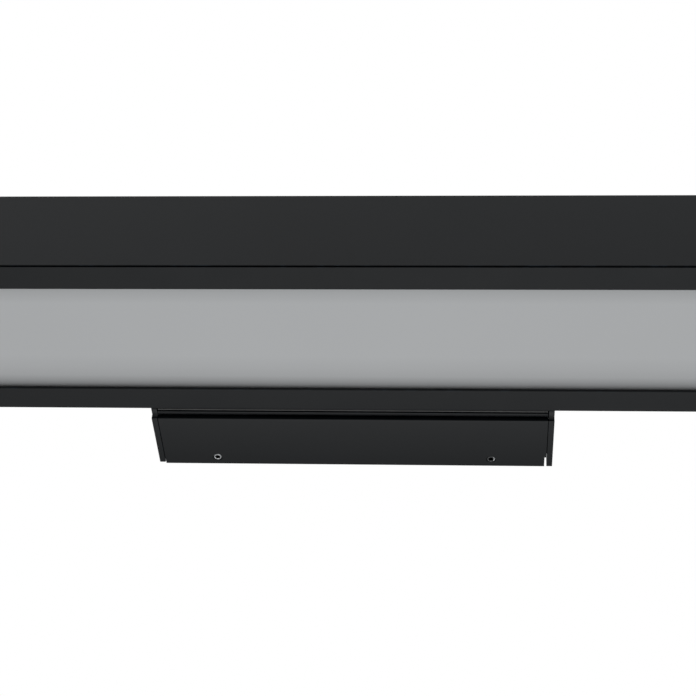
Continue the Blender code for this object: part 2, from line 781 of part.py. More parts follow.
def rail_profile():
    """A lip with a nose at the diffuser and a hook that hangs on the housing's rib."""
    lip_top = BAR_UNDER + LIP_THICK
    nose = HALF_DEPTH - LIP_WIDTH
    step = 0.6 * MM
    bevel = 0.35 * MM
    inside = INNER_WALL - GAP
    web = RIB_REACH - GAP
    web_thick = 1.5 * MM
    hook_under = RIB_TOP + GAP
    return [
        (nose + bevel, BAR_UNDER),
        (HALF_DEPTH, BAR_UNDER),
        (HALF_DEPTH, BAR_UNDER + SEAM_EDGE),
        (inside, BAR_UNDER + SEAM_EDGE + step),
        (inside, lip_top),
        (web, lip_top),
        (web, hook_under),
        (inside, hook_under),
        (inside, hook_under + web_thick),
        (web - web_thick, hook_under + web_thick),
        (web - web_thick, lip_top),
        (nose + step, lip_top),
        (nose + step, lip_top - 0.7 * MM),
        (nose, lip_top - 0.7 * MM),
        (nose, BAR_UNDER + bevel),
    ]


def reflector_profile():
    """A thin sheet that slopes from the tray's ledge down to a foot on the diffuser."""
    thick = 0.8 * MM
    top_u = PORT_REACH - GAP
    top_z = TRAY_UNDER - 0.8 * MM
    foot_z = DIFFUSER_UNDER + DIFFUSER_THICK + GAP
    knee_u = HALF_DEPTH - LIP_WIDTH + 3.4 * MM
    foot_u = knee_u - 2.4 * MM
    return [
        (top_u - thick, top_z),
        (top_u, top_z),
        (knee_u + thick, foot_z),
        (foot_u, foot_z),
        (foot_u, foot_z + thick),
        (knee_u, foot_z + thick),
    ]


def on_both_sides(name, half, end, material):
    """The same profile behind the middle plane and, mirrored, in front of it."""
    for sign, word in ((-1, "front"), (1, "rear")):
        profile = [(BAR_MIDDLE + sign * u, z) for u, z in half]
        extrude_along_x(f"{name}_{word}", profile, -end, end, material)


def make_diffuser(opal):
    half = HALF_DEPTH - LIP_WIDTH + 3.8 * MM
    end = HOUSING_END - GAP
    low = (-end, BAR_MIDDLE - half, DIFFUSER_UNDER)
    high = (end, BAR_MIDDLE + half, DIFFUSER_UNDER + DIFFUSER_THICK)
    make_box("diffuser", low, high, opal)


def tray_screw_places():
    reach = INNER_WALL - 2.7 * MM
    return [(x, BAR_MIDDLE + side * reach) for x in (-TRAY_SCREW_X, TRAY_SCREW_X) for side, _ in SIDES]


def make_tray(aluminium, zinc):
    half = INNER_WALL - GAP
    end = HOUSING_END - 5 * MM
    low = (-end, BAR_MIDDLE - half, TRAY_UNDER)
    high = (end, BAR_MIDDLE + half, TRAY_UNDER + TRAY_THICK)
    tray = make_box("led_tray", low, high, aluminium)
    holes = bmesh.new()
    for centre in tray_screw_places():
        add_hole(holes, "Z", centre, TRAY_UNDER - MM, TRAY_UNDER + TRAY_THICK + MM, M2_5[0] + TRIM)
    wire_pass = (5 * MM, BAR_MIDDLE)
    add_hole(holes, "Z", wire_pass, TRAY_UNDER - MM, TRAY_UNDER + TRAY_THICK + MM, TRAY_HOLE_RADIUS)
    cut(tray, holes, "tray_holes")
    seat = TRAY_UNDER + TRAY_THICK + GAP
    for number, centre in enumerate(tray_screw_places(), 1):
        make_screw(f"tray_screw_{number}", "Z", centre, seat, PORT_TOP - TRAY_SCREW_BITE, M2_5, zinc)


def connector_front():
    return BOARD_ROW - BOARD_WIDTH / 2 + MM


def make_led_boards(pcb):
    """Two long boards under the tray, with a row of LEDs and a connector each."""
    chip = 2.5 * MM
    chip_height = 0.8 * MM
    pitch = BOARD_LENGTH / CHIPS_PER_BOARD
    under = BOARD_TOP - BOARD_THICK
    for sign, word in ((-1, "front"), (1, "rear")):
        name = "led_board_" + word
        middle = BAR_MIDDLE + sign * BOARD_ROW
        low = (-BOARD_LENGTH / 2, middle - BOARD_WIDTH / 2, under)
        board = make_box(name, low, (BOARD_LENGTH / 2, middle + BOARD_WIDTH / 2, BOARD_TOP), pcb)
        extras = bmesh.new()
        for i in range(CHIPS_PER_BOARD):
            x = (i + 0.5) * pitch - BOARD_LENGTH / 2
            corner = (x - chip / 2, middle - chip / 2, under - chip_height)
            add_box(extras, corner, (x + chip / 2, middle + chip / 2, under + 0.5 * MM))
        inner = BAR_MIDDLE + sign * connector_front()
        outer = inner + sign * 4 * MM
        low = (-6 * MM, min(inner, outer), under - 2.8 * MM)
        add_box(extras, low, (12 * MM, max(inner, outer), under + 0.5 * MM))
        join(board, extras, name + "_chips")


def make_jumper(red):
    """The link from the rear board's connector to the front one."""
    reach = connector_front() - GAP
    height = TRAY_UNDER - 3.4 * MM
    points = [
        (8.5 * MM, BAR_MIDDLE + reach, height),
        (8.8 * MM, BAR_MIDDLE + 3.5 * MM, height - 0.5 * MM),
        (9.2 * MM, BAR_MIDDLE, height - 0.8 * MM),
        (8.8 * MM, BAR_MIDDLE - 3.5 * MM, height - 0.5 * MM),
        (8.5 * MM, BAR_MIDDLE - reach, height),
    ]
    make_lead("board_jumper", points, LEAD_RADIUS, red)


def cap_screw_places():
    places = []
    for u, z in (SIDE_PORT, TOP_PORT):
        places += [(BAR_MIDDLE - u, z), (BAR_MIDDLE + u, z)]
    return places


def make_end_caps(black, dark_screw):
    """Flat caps over the ends of the bar, each held by countersunk screws in the housing's channels."""
    size = (1.15 * MM, 2.5 * MM, 1.6 * MM)
    shank, head, _ = size
    for side, word in SIDES:
        outer = side * BAR_LENGTH / 2
        inner = outer - side * CAP_THICK
        low = (min(inner, outer), BAR_FRONT, BAR_UNDER)
        cap = make_box("end_cap_" + word, low, (max(inner, outer), BAR_BACK, BAR_TOP), black, 0.4 * MM)
        holes = bmesh.new()
        face = outer - side * 0.1 * MM
        for centre in cap_screw_places():
            stations = [
                (outer + side * MM, head + TRIM),
                (face, head + TRIM),
                (face - side * (head - shank), shank + TRIM),
                (inner - side * MM, shank + TRIM),
            ]
            add_turned(holes, "X", centre, stations)
        cut(cap, holes, "cap_holes_" + word)
        for number, centre in enumerate(cap_screw_places(), 1):
            name = f"cap_screw_{word}_{number}"
            make_screw(name, "X", centre, face, inner - side * 7 * MM, size, dark_screw, countersunk=True)


# ---------------------------------------------------------------- assembly

def build():
    clear_scene()
    black = make_material("black_powder_coat", (0.022, 0.023, 0.025), 0.45)
    opal = make_material("opal_acrylic", (0.62, 0.63, 0.65), 0.35)
    white = make_material("white_reflector", (0.85, 0.85, 0.84), 0.5)
    aluminium = make_material("plain_aluminium", (0.72, 0.73, 0.74), 0.4, 1.0)
    pcb = make_material("board_white", (0.82, 0.83, 0.8), 0.5)
    zinc = make_material("zinc_steel", (0.6, 0.6, 0.58), 0.35, 1.0)
    bare = make_material("bare_screw_steel", (0.7, 0.7, 0.7), 0.25, 1.0)
    dark_screw = make_material("black_screw", (0.03, 0.03, 0.03), 0.4)
    brass = make_material("earth_brass", (0.75, 0.58, 0.28), 0.35, 1.0)
    rubber = make_material("black_rubber", (0.03, 0.03, 0.03), 0.8)
    gasket_rubber = make_material("grey_rubber", (0.13, 0.13, 0.13), 0.7)
    case = make_material("driver_white", (0.8, 0.8, 0.78), 0.5)
    cream = make_material("terminal_cream", (0.78, 0.75, 0.66), 0.5)
    red = make_material("lead_red", (0.6, 0.04, 0.03), 0.45)
    colours = {
        "live_lead": make_material("lead_brown", (0.2, 0.08, 0.03), 0.45),
        "neutral_lead": make_material("lead_blue", (0.04, 0.16, 0.55), 0.45),
        "earth_lead": make_material("lead_green", (0.1, 0.45, 0.08), 0.45),
        "led_lead_plus": red,
        "led_lead_minus": make_material("lead_black", (0.02, 0.02, 0.02), 0.45),
    }
    make_bracket(zinc, brass)
    make_canopy(black)
    make_canopy_ends(black, dark_screw)
    make_set_screws(bare)
    make_neck(black, gasket_rubber)
    make_coupling(zinc)
    make_grommet(rubber)
    make_driver(case, zinc)
    make_terminal(cream, zinc)
    make_earth_screw(brass)
    make_leads(colours)
    make_housing(black)
    rail_end = HOUSING_END - GAP
    on_both_sides("lens_rail", rail_profile(), rail_end, black)
    on_both_sides("reflector", reflector_profile(), rail_end, white)
    make_diffuser(opal)
    make_tray(aluminium, zinc)
    make_led_boards(pcb)
    make_jumper(red)
    make_end_caps(black, dark_screw)


build()
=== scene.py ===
"""Looks of the wall-mounted LED vanity light bar.

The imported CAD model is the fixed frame. This script gives every node its finish, replaces shells,
fasteners, wires and electrical parts with detailed pieces in the same places, and sets up a plain
studio. Units are metres: X runs along the bar, +Y points into the wall and +Z up.
"""
import json
import math

import bmesh
import bpy
from mathutils import Matrix, Vector


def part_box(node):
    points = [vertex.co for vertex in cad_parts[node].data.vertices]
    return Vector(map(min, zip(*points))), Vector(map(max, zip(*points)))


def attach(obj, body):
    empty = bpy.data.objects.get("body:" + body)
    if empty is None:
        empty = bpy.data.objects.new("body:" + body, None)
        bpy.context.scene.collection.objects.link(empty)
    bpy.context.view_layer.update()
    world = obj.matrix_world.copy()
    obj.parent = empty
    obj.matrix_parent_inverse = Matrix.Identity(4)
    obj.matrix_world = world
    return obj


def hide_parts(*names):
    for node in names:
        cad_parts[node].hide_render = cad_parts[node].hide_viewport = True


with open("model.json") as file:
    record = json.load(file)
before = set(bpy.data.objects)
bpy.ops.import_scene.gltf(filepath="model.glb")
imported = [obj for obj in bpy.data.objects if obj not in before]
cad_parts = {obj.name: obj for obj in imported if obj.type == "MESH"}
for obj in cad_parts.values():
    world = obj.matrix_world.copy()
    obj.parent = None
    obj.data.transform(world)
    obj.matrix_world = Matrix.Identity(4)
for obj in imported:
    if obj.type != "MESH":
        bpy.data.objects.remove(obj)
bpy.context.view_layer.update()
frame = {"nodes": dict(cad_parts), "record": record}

MM = 0.001
RECORD = frame["record"]
BODY_OF = {node: body for body, nodes in RECORD["behaviour"]["bodies"].items() for node in nodes}
SLOT_OF = {row["node"]: row["material_slot"] for row in RECORD["subparts"]}
SIDES = ((-1, "left"), (1, "right"))
FRONT_AND_REAR = ((-1, "front"), (1, "rear"))

OUT = Vector((0, 1, 0))  # towards the wall, the way the fasteners in the canopy face
UP = Vector((0, 0, 1))
RIGHT = Vector((1, 0, 0))

WELD = 0.002 * MM
FLAT = math.radians(0.3)  # faces that turn less than this count as one
CREASE_DEGREES = 38


# ---------------------------------------------------------------- camera and studio

# The view looks up at the lamp from in front of it and a little to its right.
CAMERA_PLACE = Vector((0.05886, -0.6872, -0.58527))
CAMERA_YAW = 0.0964  # radians, towards -X
CAMERA_PITCH = 0.7473  # radians, upwards
CAMERA_ROLL = 0.0698  # radians
CAMERA_LENS_MM = 89.85
CAMERA_SENSOR_MM = 36.0


def make_camera():
    flat = Vector((math.cos(CAMERA_YAW), math.sin(CAMERA_YAW), 0.0))
    forward = Vector((
        -math.sin(CAMERA_YAW) * math.cos(CAMERA_PITCH),
        math.cos(CAMERA_YAW) * math.cos(CAMERA_PITCH),
        math.sin(CAMERA_PITCH),
    ))
    level_up = flat.cross(forward)
    right = math.cos(CAMERA_ROLL) * flat + math.sin(CAMERA_ROLL) * level_up
    up = -math.sin(CAMERA_ROLL) * flat + math.cos(CAMERA_ROLL) * level_up
    data = bpy.data.cameras.new("camera")
    data.lens = CAMERA_LENS_MM
    data.sensor_width = CAMERA_SENSOR_MM
    data.clip_start = 0.01
    data.clip_end = 60.0
    camera = bpy.data.objects.new("camera", data)
    bpy.context.scene.collection.objects.link(camera)
    turn = Matrix((right, up, -forward)).transposed().to_4x4()
    camera.matrix_world = Matrix.Translation(CAMERA_PLACE) @ turn
    bpy.context.scene.camera = camera


FLOOR_DEPTH = -0.9
FLOOR_REACH = 25.0
FLOOR_FADE = (2.5, 9.0)  # distances between which the floor passes into the white backdrop
SOFT_LIGHT = Vector((-0.3, 0.1, 0.95))  # the middle of the bright ceiling
# (share of the way up to it, level): a bright floor, dim walls and the bright ceiling
SOFT_LEVELS = ((0.0, 0.7), (0.12, 0.36), (0.22, 0.24), (0.4, 0.24), (0.52, 0.34), (0.82, 0.58), (1.0, 0.95))
POOL = Vector((-0.03, 0.45, -0.89))  # a softbox below the lamp, behind it
POOL_LEVELS = ((0.74, 0.0), (0.86, 0.06), (0.91, 0.18), (0.94, 0.38), (0.97, 0.62), (1.0, 0.7))


def sky_level(tree, place, towards, levels, lowest):
    """The brightness of the sky by how closely a direction follows one vector."""
    turned = tree.nodes.new("ShaderNodeVectorMath")
    turned.operation = "DOT_PRODUCT"
    turned.inputs[1].default_value = towards.normalized()
    share = tree.nodes.new("ShaderNodeMapRange")
    share.inputs["From Min"].default_value = lowest
    ramp = tree.nodes.new("ShaderNodeValToRGB")
    elements = ramp.color_ramp.elements
    while len(elements) < len(levels):
        elements.new(1.0)
    for element, (position, value) in zip(elements, levels):
        element.position = position
        element.color = (value, value, value, 1.0)
    tree.links.new(place, turned.inputs[0])
    tree.links.new(turned.outputs["Value"], share.inputs["Value"])
    tree.links.new(share.outputs["Result"], ramp.inputs["Fac"])
    return ramp.outputs["Color"]


def make_world():
    """Soft studio light: dim walls, a bright floor and ceiling, one softbox below and a white backdrop."""
    world = bpy.data.worlds.new("studio")
    world.use_nodes = True
    tree = world.node_tree
    output = tree.nodes["World Output"]
    soft = tree.nodes["Background"]
    soft.inputs["Color"].default_value = (0.985, 1.0, 1.01, 1.0)
    white = tree.nodes.new("ShaderNodeBackground")
    white.inputs["Color"].default_value = (1.0, 1.0, 1.0, 1.0)
    place = tree.nodes.new("ShaderNodeTexCoord").outputs["Generated"]
    total = tree.nodes.new("ShaderNodeMath")
    tree.links.new(sky_level(tree, place, SOFT_LIGHT, SOFT_LEVELS, -1.0), total.inputs[0])
    tree.links.new(sky_level(tree, place, POOL, POOL_LEVELS, 0.0), total.inputs[1])
    path = tree.nodes.new("ShaderNodeLightPath")
    mix = tree.nodes.new("ShaderNodeMixShader")
    tree.links.new(total.outputs["Value"], soft.inputs["Strength"])
    tree.links.new(path.outputs["Is Camera Ray"], mix.inputs["Fac"])
    tree.links.new(soft.outputs["Background"], mix.inputs[1])
    tree.links.new(white.outputs["Background"], mix.inputs[2])
    tree.links.new(mix.outputs["Shader"], output.inputs["Surface"])
    scene = bpy.context.scene
    scene.world = world
    scene.view_settings.view_transform = "Standard"
    scene.view_settings.look = "None"


def make_floor():
    """A pale floor that passes into the white backdrop, and that doesn't light the lamp itself."""
    bm = bmesh.new()
    bmesh.ops.create_grid(bm, x_segments=40, y_segments=40, size=FLOOR_REACH)
    floor = object_from(bm, "studio_floor", floor_finish())
    floor.location.z = FLOOR_DEPTH
    floor.visible_diffuse = False
    floor.visible_glossy = False


# ---------------------------------------------------------------- node materials

class Nodes:
    """A material's node tree, with short calls for the nodes that it uses."""

    def __init__(self, name):
        self.material = bpy.data.materials.new(name)
        self.material.use_nodes = True
        self.tree = self.material.node_tree
        self.shader = self.tree.nodes["Principled BSDF"]
        self.place = self.add("ShaderNodeTexCoord").outputs["Object"]

    def add(self, kind, **settings):
        node = self.tree.nodes.new(kind)
        for key, value in settings.items():
            setattr(node, key, value)
        return node

    def join(self, value, target):
        """Links an output, or sets a number or colour."""
        if isinstance(value, bpy.types.NodeSocket):
            self.tree.links.new(value, target)
        elif isinstance(value, tuple):
            target.default_value = (*value, 1.0)
        else:
            target.default_value = value

    def noise(self, scale, detail=3.0, roughness=0.55, stretch=None):
        source = self.place
        if stretch:
            mapping = self.add("ShaderNodeMapping")
            mapping.inputs["Scale"].default_value = stretch
            self.join(source, mapping.inputs["Vector"])
            source = mapping.outputs["Vector"]
        node = self.add("ShaderNodeTexNoise")
        node.inputs["Scale"].default_value = scale
        node.inputs["Detail"].default_value = detail
        node.inputs["Roughness"].default_value = roughness
        self.join(source, node.inputs["Vector"])
        return node.outputs["Fac"]

    def ramp(self, factor, *stops):
        node = self.add("ShaderNodeValToRGB")
        elements = node.color_ramp.elements
        while len(elements) < len(stops):
            elements.new(1.0)
        for element, (position, color) in zip(elements, stops):
            element.position = position
            element.color = (*color, 1.0)
        self.join(factor, node.inputs["Fac"])
        return node.outputs["Color"]

    def spread(self, factor, low, high, from_low=0.3, from_high=0.7):
        node = self.add("ShaderNodeMapRange")
        node.inputs["From Min"].default_value = from_low
        node.inputs["From Max"].default_value = from_high
        node.inputs["To Min"].default_value = low
        node.inputs["To Max"].default_value = high
        self.join(factor, node.inputs["Value"])
        return node.outputs["Result"]

    def combine(self, first, second, operation="ADD"):
        node = self.add("ShaderNodeMath", operation=operation)
        self.join(first, node.inputs[0])
        self.join(second, node.inputs[1])
        return node.outputs["Value"]

    def mix(self, factor, first, second, blend="MIX"):
        """A mix of two colours, whose sockets come after those for numbers and vectors."""
        node = self.add("ShaderNodeMix", data_type="RGBA", blend_type=blend)
        self.join(factor, node.inputs[0])
        self.join(first, node.inputs[6])
        self.join(second, node.inputs[7])
        return node.outputs[2]

    def bump(self, *layers):
        """Layers of (height, distance in metres, strength)."""
        normal = None
        for height, distance, strength in layers:
            node = self.add("ShaderNodeBump")
            node.inputs["Strength"].default_value = strength
            node.inputs["Distance"].default_value = distance
            self.join(height, node.inputs["Height"])
            if normal:
                self.join(normal, node.inputs["Normal"])
            normal = node.outputs["Normal"]
        self.join(normal, self.shader.inputs["Normal"])

    def attribute(self, name):
        node = self.add("ShaderNodeAttribute", attribute_name=name)
        return node.outputs["Fac"]

    def along(self, axis):
        """One coordinate of the surface, in metres."""
        node = self.add("ShaderNodeSeparateXYZ")
        self.join(self.place, node.inputs["Vector"])
        return node.outputs[axis]

    def set(self, **values):
        for key, value in values.items():
            self.join(value, self.shader.inputs[key.replace("_", " ")])
        return self.material


def tint(color, factor):
    return tuple(min(1.0, channel * factor) for channel in color)


def grey(level):
    return (level, level, level)


def powder_coat(name, color, cloud_scale=9.0, shine=0.4, fade=None):
    """Fine satin powder coat: orange-peel grain, faint cloudiness and lightly rubbed edges.

    The fade is (Y, Y, least share): painted shade that dulls the coat's shine between the two places, towards
    the second.
    """
    nodes = Nodes(name)
    cloud = nodes.noise(cloud_scale, 4.0)
    speck = nodes.noise(1400.0, 2.0, 0.6)
    base = nodes.ramp(cloud, (0.3, tint(color, 0.85)), (0.7, tint(color, 1.2)))
    grain = nodes.ramp(speck, (0.35, grey(0.85)), (0.75, grey(1.2)))
    base = nodes.mix(1.0, base, grain, "MULTIPLY")
    rub = nodes.spread(nodes.noise(160.0, 4.0), 0.0, 1.0, 0.52, 0.66)
    worn = nodes.combine(nodes.attribute("edge"), rub, "MULTIPLY")
    base = nodes.mix(worn, base, tint(color, 5.0))
    peel = nodes.noise(620.0, 2.0, 0.5)
    nodes.bump((peel, 0.00002, 0.3), (speck, 0.00001, 0.2))
    rough = nodes.spread(nodes.noise(38.0, 4.0), 0.31, 0.39)
    # painted shade: the shine falls along Y between the fade's two places
    if fade:
        start, end, least = fade
        shine = nodes.spread(nodes.along(1), shine, shine * least, start, end)
    return nodes.set(Base_Color=base, Roughness=rough, Specular_IOR_Level=shine)


def opal_acrylic():
    """Satin opal sheet, with painted shade in its base colour: it darkens towards the lips, where the white
    box behind it falls into shade.
    """
    nodes = Nodes("opal_acrylic")
    cloud = nodes.noise(6.0, 3.0)
    base = nodes.ramp(cloud, (0.3, (0.822, 0.831, 0.838)), (0.7, (0.844, 0.853, 0.86)))
    across = nodes.along(1)
    front_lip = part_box("lens_rail_front")[1].y
    rear_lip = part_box("lens_rail_rear")[0].y
    shade_reach = 22 * MM
    # painted shade: the base colour darkens towards the rear lip and, less, towards the front lip
    from_rear = nodes.spread(across, 0.0, 1.0, rear_lip, rear_lip - shade_reach)
    stops = ((0.0, 0.4), (0.1, 0.5), (0.2, 0.66), (0.36, 0.85), (0.62, 0.93), (1.0, 1.0))
    rear_shade = nodes.ramp(from_rear, *((place, grey(level)) for place, level in stops))
    from_front = nodes.spread(across, 0.0, 1.0, front_lip, front_lip + shade_reach / 2)
    front_shade = nodes.ramp(from_front, (0.0, grey(0.82)), (1.0, grey(1.0)))
    base = nodes.mix(1.0, base, rear_shade, "MULTIPLY")
    base = nodes.mix(1.0, base, front_shade, "MULTIPLY")
    nodes.bump((nodes.noise(900.0, 2.0), 0.000008, 0.15))
    rough = nodes.spread(nodes.noise(30.0, 3.0), 0.2, 0.27)
    return nodes.set(Base_Color=base, Roughness=rough, Specular_IOR_Level=0.5)


def satin_paint(name, color, roughness=0.5, speck_scale=900.0):
    """Smooth paint with a faint tooth, a little uneven in tone."""
    nodes = Nodes(name)
    base = nodes.ramp(nodes.noise(14.0, 4.0), (0.3, tint(color, 0.94)), (0.7, tint(color, 1.04)))
    dust = nodes.spread(nodes.noise(95.0, 5.0, 0.7), 0.0, 0.12, 0.5, 0.8)
    base = nodes.mix(dust, base, tint(color, 0.7))
    base = nodes.mix(nodes.combine(nodes.attribute("edge"), 0.25, "MULTIPLY"), base, tint(color, 1.2))
    nodes.bump((nodes.noise(speck_scale, 2.0), 0.00001, 0.25))
    rough = nodes.spread(nodes.noise(40.0, 3.0), roughness - 0.05, roughness + 0.06)
    return nodes.set(Base_Color=base, Roughness=rough, Specular_IOR_Level=0.45)


def plated_metal(name, color, roughness, stretch=None, tone=0.12):
    """Plated or bare metal: drawn streaks or mottling, with brighter rubbed edges."""
    nodes = Nodes(name)
    streak = nodes.noise(260.0, 4.0, 0.65, stretch)
    cloud = nodes.noise(45.0, 4.0)
    base = nodes.ramp(cloud, (0.3, tint(color, 1 - tone)), (0.7, tint(color, 1 + tone)))
    lines = nodes.ramp(streak, (0.3, grey(0.86)), (0.7, grey(1.08)))
    base = nodes.mix(1.0, base, lines, "MULTIPLY")
    base = nodes.mix(nodes.combine(nodes.attribute("edge"), 0.5, "MULTIPLY"), base, tint(color, 1.3))
    # painted shade: the recess attribute darkens sockets, and the right set screw's rim, almost to black
    base = nodes.mix(nodes.attribute("recess"), base, tint(color, 0.03))
    nodes.bump((streak, 0.00001, 0.2))
    rough = nodes.combine(nodes.spread(streak, 0.0, 0.1), nodes.spread(cloud, roughness, roughness + 0.08))
    return nodes.set(Base_Color=base, Roughness=rough, Metallic=1.0)


def soft_rubber(name, color, roughness=0.75):
    nodes = Nodes(name)
    base = nodes.ramp(nodes.noise(30.0, 4.0), (0.3, tint(color, 0.85)), (0.7, tint(color, 1.2)))
    bloom = nodes.spread(nodes.noise(140.0, 5.0, 0.7), 0.0, 0.3, 0.5, 0.8)
    base = nodes.mix(bloom, base, tint(color, 1.7))
    nodes.bump((nodes.noise(1100.0, 3.0), 0.00002, 0.4))
    rough = nodes.spread(nodes.noise(60.0), roughness - 0.07, roughness + 0.08)
    return nodes.set(Base_Color=base, Roughness=rough, Specular_IOR_Level=0.35)


def wire_jacket(name, color, stripe=None):
    """Soft PVC, with a stripe along it where the lead is two-coloured."""
    nodes = Nodes(name)
    base = nodes.ramp(nodes.noise(70.0, 3.0), (0.3, tint(color, 0.88)), (0.7, tint(color, 1.12)))
    if stripe:
        striped = nodes.spread(nodes.attribute("around"), 0.0, 1.0, 0.62, 0.66)
        base = nodes.mix(striped, base, stripe)
    nodes.bump((nodes.noise(1500.0, 2.0), 0.00001, 0.3))
    rough = nodes.spread(nodes.noise(50.0), 0.36, 0.46)
    return nodes.set(Base_Color=base, Roughness=rough, Specular_IOR_Level=0.5)


def solder_mask():
    """White mask over glass board: a fine weave shows through, and the copper under it in faint bands."""
    nodes = Nodes("board_white")
    weave = nodes.add("ShaderNodeTexWave", wave_type="BANDS", bands_direction="X")
    weave.inputs["Scale"].default_value = 420.0
    weave.inputs["Distortion"].default_value = 0.6
    nodes.join(nodes.place, weave.inputs["Vector"])
    base = nodes.ramp(nodes.noise(20.0), (0.3, (0.76, 0.77, 0.74)), (0.7, (0.83, 0.84, 0.81)))
    base = nodes.mix(nodes.spread(weave.outputs["Fac"], 0.0, 0.12, 0.0, 1.0), base, (0.66, 0.69, 0.62))
    nodes.bump((weave.outputs["Fac"], 0.00001, 0.3))
    rough = nodes.spread(nodes.noise(80.0), 0.3, 0.4)
    return nodes.set(Base_Color=base, Roughness=rough, Specular_IOR_Level=0.5)


def phosphor():
    """The yellow silicone over an LED."""
    nodes = Nodes("led_phosphor")
    base = nodes.ramp(nodes.noise(900.0, 3.0), (0.3, (0.72, 0.6, 0.16)), (0.7, (0.85, 0.74, 0.28)))
    nodes.bump((nodes.noise(2600.0), 0.00001, 0.3))
    rough = nodes.spread(nodes.noise(300.0), 0.25, 0.4)
    return nodes.set(Base_Color=base, Roughness=rough)


def floor_finish():
    nodes = Nodes("studio_floor_finish")
    distance = nodes.add("ShaderNodeVectorMath", operation="LENGTH")
    nodes.join(nodes.place, distance.inputs[0])
    fade = nodes.spread(distance.outputs["Value"], 0.0, 1.0, *FLOOR_FADE)
    tone = nodes.ramp(nodes.noise(1.4, 4.0), (0.3, grey(0.78)), (0.7, grey(0.81)))
    tone = nodes.mix(fade, tone, grey(0.0))
    glow = nodes.mix(fade, grey(0.12), grey(1.0))
    rough = nodes.spread(nodes.noise(9.0), 0.8, 0.9)
    nodes.set(Emission_Strength=1.0, Specular_IOR_Level=0.0)
    return nodes.set(Base_Color=tone, Emission_Color=glow, Roughness=rough)


BLACK = (0.0030, 0.0050, 0.0072)
# painted shade: the canopy coat's shine falls from the neck to the wall
CANOPY_PAINTED_SHADE = (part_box("canopy_body")[0].y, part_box("canopy_body")[1].y, 0.62)  # from the neck to the wall
FINISHES = {
    "bar_black": powder_coat("bar_black", BLACK),
    "canopy_black": powder_coat("canopy_black", BLACK, 14.0, 0.46, CANOPY_PAINTED_SHADE),
    "opal_acrylic": opal_acrylic(),
    "reflector_white": satin_paint("reflector_white", (0.84, 0.84, 0.83)),
    "plain_aluminium": plated_metal("plain_aluminium", (0.7, 0.71, 0.72), 0.32, (0.04, 1.0, 1.0)),
    "board_white": solder_mask(),
    "zinc_steel": plated_metal("zinc_steel", (0.56, 0.57, 0.58), 0.3, (0.1, 1.0, 1.0)),
    "bare_screw_steel": plated_metal("bare_screw_steel", (0.82, 0.83, 0.84), 0.16, None, 0.05),
    "black_screw": plated_metal("black_screw", (0.05, 0.05, 0.052), 0.34),
    "earth_brass": plated_metal("earth_brass", (0.74, 0.55, 0.25), 0.24),
    "black_rubber": soft_rubber("black_rubber", grey(0.022)),
    "grey_rubber": soft_rubber("grey_rubber", grey(0.125)),
    "driver_white": satin_paint("driver_white", (0.78, 0.78, 0.76), 0.42),
    "terminal_cream": satin_paint("terminal_cream", (0.76, 0.72, 0.6), 0.4),
    "lead_brown": wire_jacket("lead_brown", (0.15, 0.055, 0.02)),
    "lead_blue": wire_jacket("lead_blue", (0.03, 0.13, 0.48)),
    "lead_green": wire_jacket("lead_green", (0.05, 0.32, 0.06), (0.78, 0.66, 0.05)),
    "lead_red": wire_jacket("lead_red", (0.52, 0.03, 0.02)),
    "lead_black": wire_jacket("lead_black", grey(0.02)),
    "led_phosphor": phosphor(),
}


# ---------------------------------------------------------------- meshes

def object_from(bm, name, material, sharp_angle=CREASE_DEGREES):
    """A smooth-shaded object whose creases stay crisp."""
    bmesh.ops.recalc_face_normals(bm, faces=bm.faces)
    mesh = bpy.data.meshes.new(name)
    bm.to_mesh(mesh)
    bm.free()
    mesh.shade_smooth()
    mesh.set_sharp_from_angle(angle=math.radians(sharp_angle))
    piece = bpy.data.objects.new(name, mesh)
    bpy.context.scene.collection.objects.link(piece)
    mesh.materials.append(material)
    return piece


def round_edges(bm, radius, segments=2, least_length=0.0, sharpest=40):
    """Rounds the outer edges and marks the new faces as edge, so that the finish can wear there."""
    bmesh.ops.recalc_face_normals(bm, faces=bm.faces)
    edge_mark = bm.loops.layers.float.get("edge") or bm.loops.layers.float.new("edge")
    least_angle = math.radians(sharpest)
    edges = [
        edge
        for edge in bm.edges
        if edge.is_manifold
        and edge.calc_face_angle_signed() > least_angle
        and edge.calc_length() > least_length
    ]
    made = bmesh.ops.bevel(
        bm,
        geom=edges,
        offset=radius,
        offset_type="OFFSET",
        segments=segments,
        profile=0.5,
        affect="EDGES",
        clamp_overlap=True,
    )
    for face in made["faces"]:
        for loop in face.loops:
            loop[edge_mark] = 1.0


def cleaned(mesh):
    """A copy of the mesh as flat faces without inner lines."""
    bm = bmesh.new()
    bm.from_mesh(mesh)
    bmesh.ops.remove_doubles(bm, verts=bm.verts, dist=WELD)
    bmesh.ops.dissolve_limit(bm, angle_limit=FLAT, verts=bm.verts, edges=bm.edges)
    return bm


def block(low, high):
    bm = bmesh.new()
    bmesh.ops.create_cube(bm, size=1.0)
    bm.transform(Matrix.Translation((low + high) / 2) @ Matrix.Diagonal((*(high - low), 1.0)))
    return bm


def even_shading(piece):
    modifier = piece.modifiers.new("even_shading", "WEIGHTED_NORMAL")
    modifier.keep_sharp = True
    return piece


def dress(piece, *nodes, body=None, slot=None):
    """The piece rides with its node's body and stands for the nodes, which it hides; the slot is not used."""
    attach(piece, body or BODY_OF[nodes[0]])
    if nodes:
        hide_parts(*nodes)
    return piece


def finish_of(node):
    return FINISHES[SLOT_OF[node]]


def rounded_shell(node, radius, segments=2, least_length=0.0):
    """The CAD shape with its outer edges rounded, as its coating leaves them."""
    bm = cleaned(frame["nodes"][node].data)
    round_edges(bm, radius, segments, least_length)
    piece = even_shading(object_from(bm, node + "_shell", finish_of(node)))
    return dress(piece, node)


def centre_of(node):
    low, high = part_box(node)
    return (low + high) / 2


# ---------------------------------------------------------------- rings and turned parts

TURN_SIDES = 36


